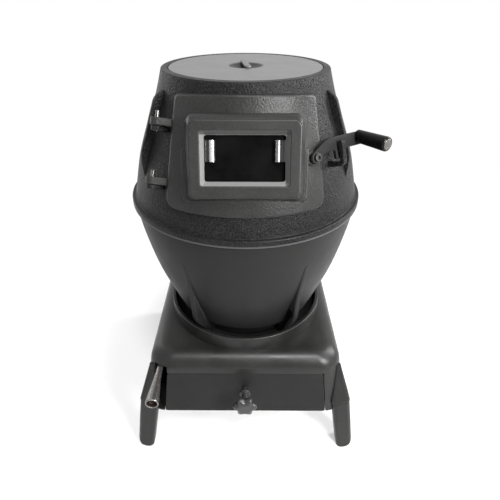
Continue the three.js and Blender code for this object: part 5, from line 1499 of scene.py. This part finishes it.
def build_stage(sizes):
    """The floor, the surround, four soft lights that shine on the object's middle, and the camera."""
    bpy.context.scene.world = white_surround(sizes.surround)
    aim = (0, 0, 0.4)
    tall = {"shape": "RECTANGLE"}
    share = sizes.light
    white_floor()
    lamp("SUN", "top", (0.35, -0.95, 2.6), aim, 2.2 * share, angle=math.radians(14))
    lamp("AREA", "key", (1.0, -1.25, 1.2), aim, 50 * share, size=0.45, size_y=0.8, **tall)
    lamp("AREA", "side", (1.4, 0.25, 1.15), aim, 26 * share, size=0.4, size_y=1.0, **tall)
    lamp("AREA", "edge", (-1.3, 0.8, 0.9), aim, 4 * share, size=0.15, size_y=1.2, **tall)
    data = bpy.data.cameras.new("camera")
    data.lens, data.sensor_width, data.shift_x = 29.52, 36, 0.0088
    camera = bpy.data.objects.new("camera", data)
    camera.location = (0.00338, -0.6461, 0.7525)
    camera.rotation_euler = (math.radians(56.7), 0, math.radians(0.3))
    bpy.context.scene.collection.objects.link(camera)
    bpy.context.scene.camera = camera
    bpy.context.scene.view_settings.view_transform = "Standard"


# ---------------------------------------------------------------- add-on


class StoveSizes(bpy.types.PropertyGroup):
    """What the panel sets before the stove is built"""

    iron_tone: bpy.props.FloatProperty(
        name="Iron tone", description="Grey of the blackened iron, in linear light", default=0.026,
        min=0, max=1)
    lid_tone: bpy.props.FloatProperty(
        name="Lid tone", description="Grey of the lid, in linear light", default=0.12, min=0, max=1)
    grain_depth: bpy.props.FloatProperty(
        name="Grain depth", description="Depth of the cast surface's grain, in millimetres", default=0.9,
        min=0, max=3)
    light: bpy.props.FloatProperty(
        name="Light", description="Strength of the studio lights, as a share", default=1.0, subtype="FACTOR",
        min=0, max=4)
    surround: bpy.props.FloatProperty(
        name="Surround", description="Light that the white surround gives", default=0.2, subtype="FACTOR",
        min=0, max=2)


FINISH = {}


def finishes():
    """The finishes, made once."""
    if not FINISH:
        FINISH.update(build_materials(bpy.context.scene.stove_sizes))
    return FINISH


class StovePiece:
    """Builds one group of the stove's pieces."""

    bl_options = {"REGISTER", "UNDO"}

    def execute(self, _context):
        """Builds the group with the stove's finishes."""
        self.build(finishes())
        return {"FINISHED"}


class STOVE_OT_base(StovePiece, bpy.types.Operator):
    """Build the base casting and its legs"""

    bl_idname = "stove.base"
    bl_label = "Base and legs"
    build = staticmethod(build_base)


class STOVE_OT_bowl(StovePiece, bpy.types.Operator):
    """Build the fire bowl with its gussets"""

    bl_idname = "stove.bowl"
    bl_label = "Fire bowl"
    build = staticmethod(build_bowl)


class STOVE_OT_barrel(StovePiece, bpy.types.Operator):
    """Build the barrel, the flue collar and the hinge pins"""

    bl_idname = "stove.barrel"
    bl_label = "Barrel and flue"
    build = staticmethod(build_barrel)


class STOVE_OT_door(StovePiece, bpy.types.Operator):
    """Build the door with its window, clips and rope seal"""

    bl_idname = "stove.door"
    bl_label = "Door"
    build = staticmethod(build_door)


class STOVE_OT_latch(StovePiece, bpy.types.Operator):
    """Build the latch handle with its grip and bolt"""

    bl_idname = "stove.latch"
    bl_label = "Latch handle"
    build = staticmethod(build_latch)


class STOVE_OT_lid(StovePiece, bpy.types.Operator):
    """Build the lid and its lift bar"""

    bl_idname = "stove.lid"
    bl_label = "Lid"
    build = staticmethod(build_lid)


class STOVE_OT_drawer(StovePiece, bpy.types.Operator):
    """Build the ash drawer's front and its star knob"""

    bl_idname = "stove.drawer"
    bl_label = "Drawer and knob"
    build = staticmethod(build_drawer)


class STOVE_OT_shaker(StovePiece, bpy.types.Operator):
    """Build the shaker's rod"""

    bl_idname = "stove.shaker"
    bl_label = "Shaker rod"
    build = staticmethod(build_shaker)


class STOVE_OT_hidden(StovePiece, bpy.types.Operator):
    """Give the carried CAD pieces their finishes"""

    bl_idname = "stove.hidden"
    bl_label = "Inner pieces"
    build = staticmethod(dress_hidden)


class STOVE_OT_stage(bpy.types.Operator):
    """Build the floor, the lights and the camera"""

    bl_idname = "stove.stage"
    bl_label = "Stage"
    bl_options = {"REGISTER", "UNDO"}

    def execute(self, context):
        """Builds the stage with the sizes of the scene."""
        build_stage(context.scene.stove_sizes)
        return {"FINISHED"}


OPERATORS = (
    STOVE_OT_base, STOVE_OT_bowl, STOVE_OT_barrel, STOVE_OT_door, STOVE_OT_latch, STOVE_OT_lid,
    STOVE_OT_drawer, STOVE_OT_shaker, STOVE_OT_hidden, STOVE_OT_stage,
)


class STOVE_PT_panel(bpy.types.Panel):
    """The stove's sizes and its building steps"""

    bl_idname = "STOVE_PT_panel"
    bl_label = "Potbelly Stove"
    bl_space_type = "VIEW_3D"
    bl_region_type = "UI"
    bl_category = "Stove"

    def draw(self, context):
        """Shows each size, then each step."""
        for name in StoveSizes.__annotations__:
            self.layout.prop(context.scene.stove_sizes, name)
        for operator in OPERATORS:
            self.layout.operator(operator.bl_idname)


CLASSES = (StoveSizes, *OPERATORS, STOVE_PT_panel)


def register():
    """Registers the classes and puts the sizes on the scene."""
    for item in CLASSES:
        bpy.utils.register_class(item)
    bpy.types.Scene.stove_sizes = bpy.props.PointerProperty(type=StoveSizes)


def unregister():
    """Undoes register."""
    del bpy.types.Scene.stove_sizes
    for item in reversed(CLASSES):
        bpy.utils.unregister_class(item)


def main():
    """Builds everything in order."""
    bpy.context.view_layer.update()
    register()
    bpy.ops.stove.base()
    bpy.ops.stove.bowl()
    bpy.ops.stove.barrel()
    bpy.ops.stove.door()
    bpy.ops.stove.latch()
    bpy.ops.stove.lid()
    bpy.ops.stove.drawer()
    bpy.ops.stove.shaker()
    bpy.ops.stove.hidden()
    bpy.ops.stove.stage()


if __name__ == "__main__":
    main()
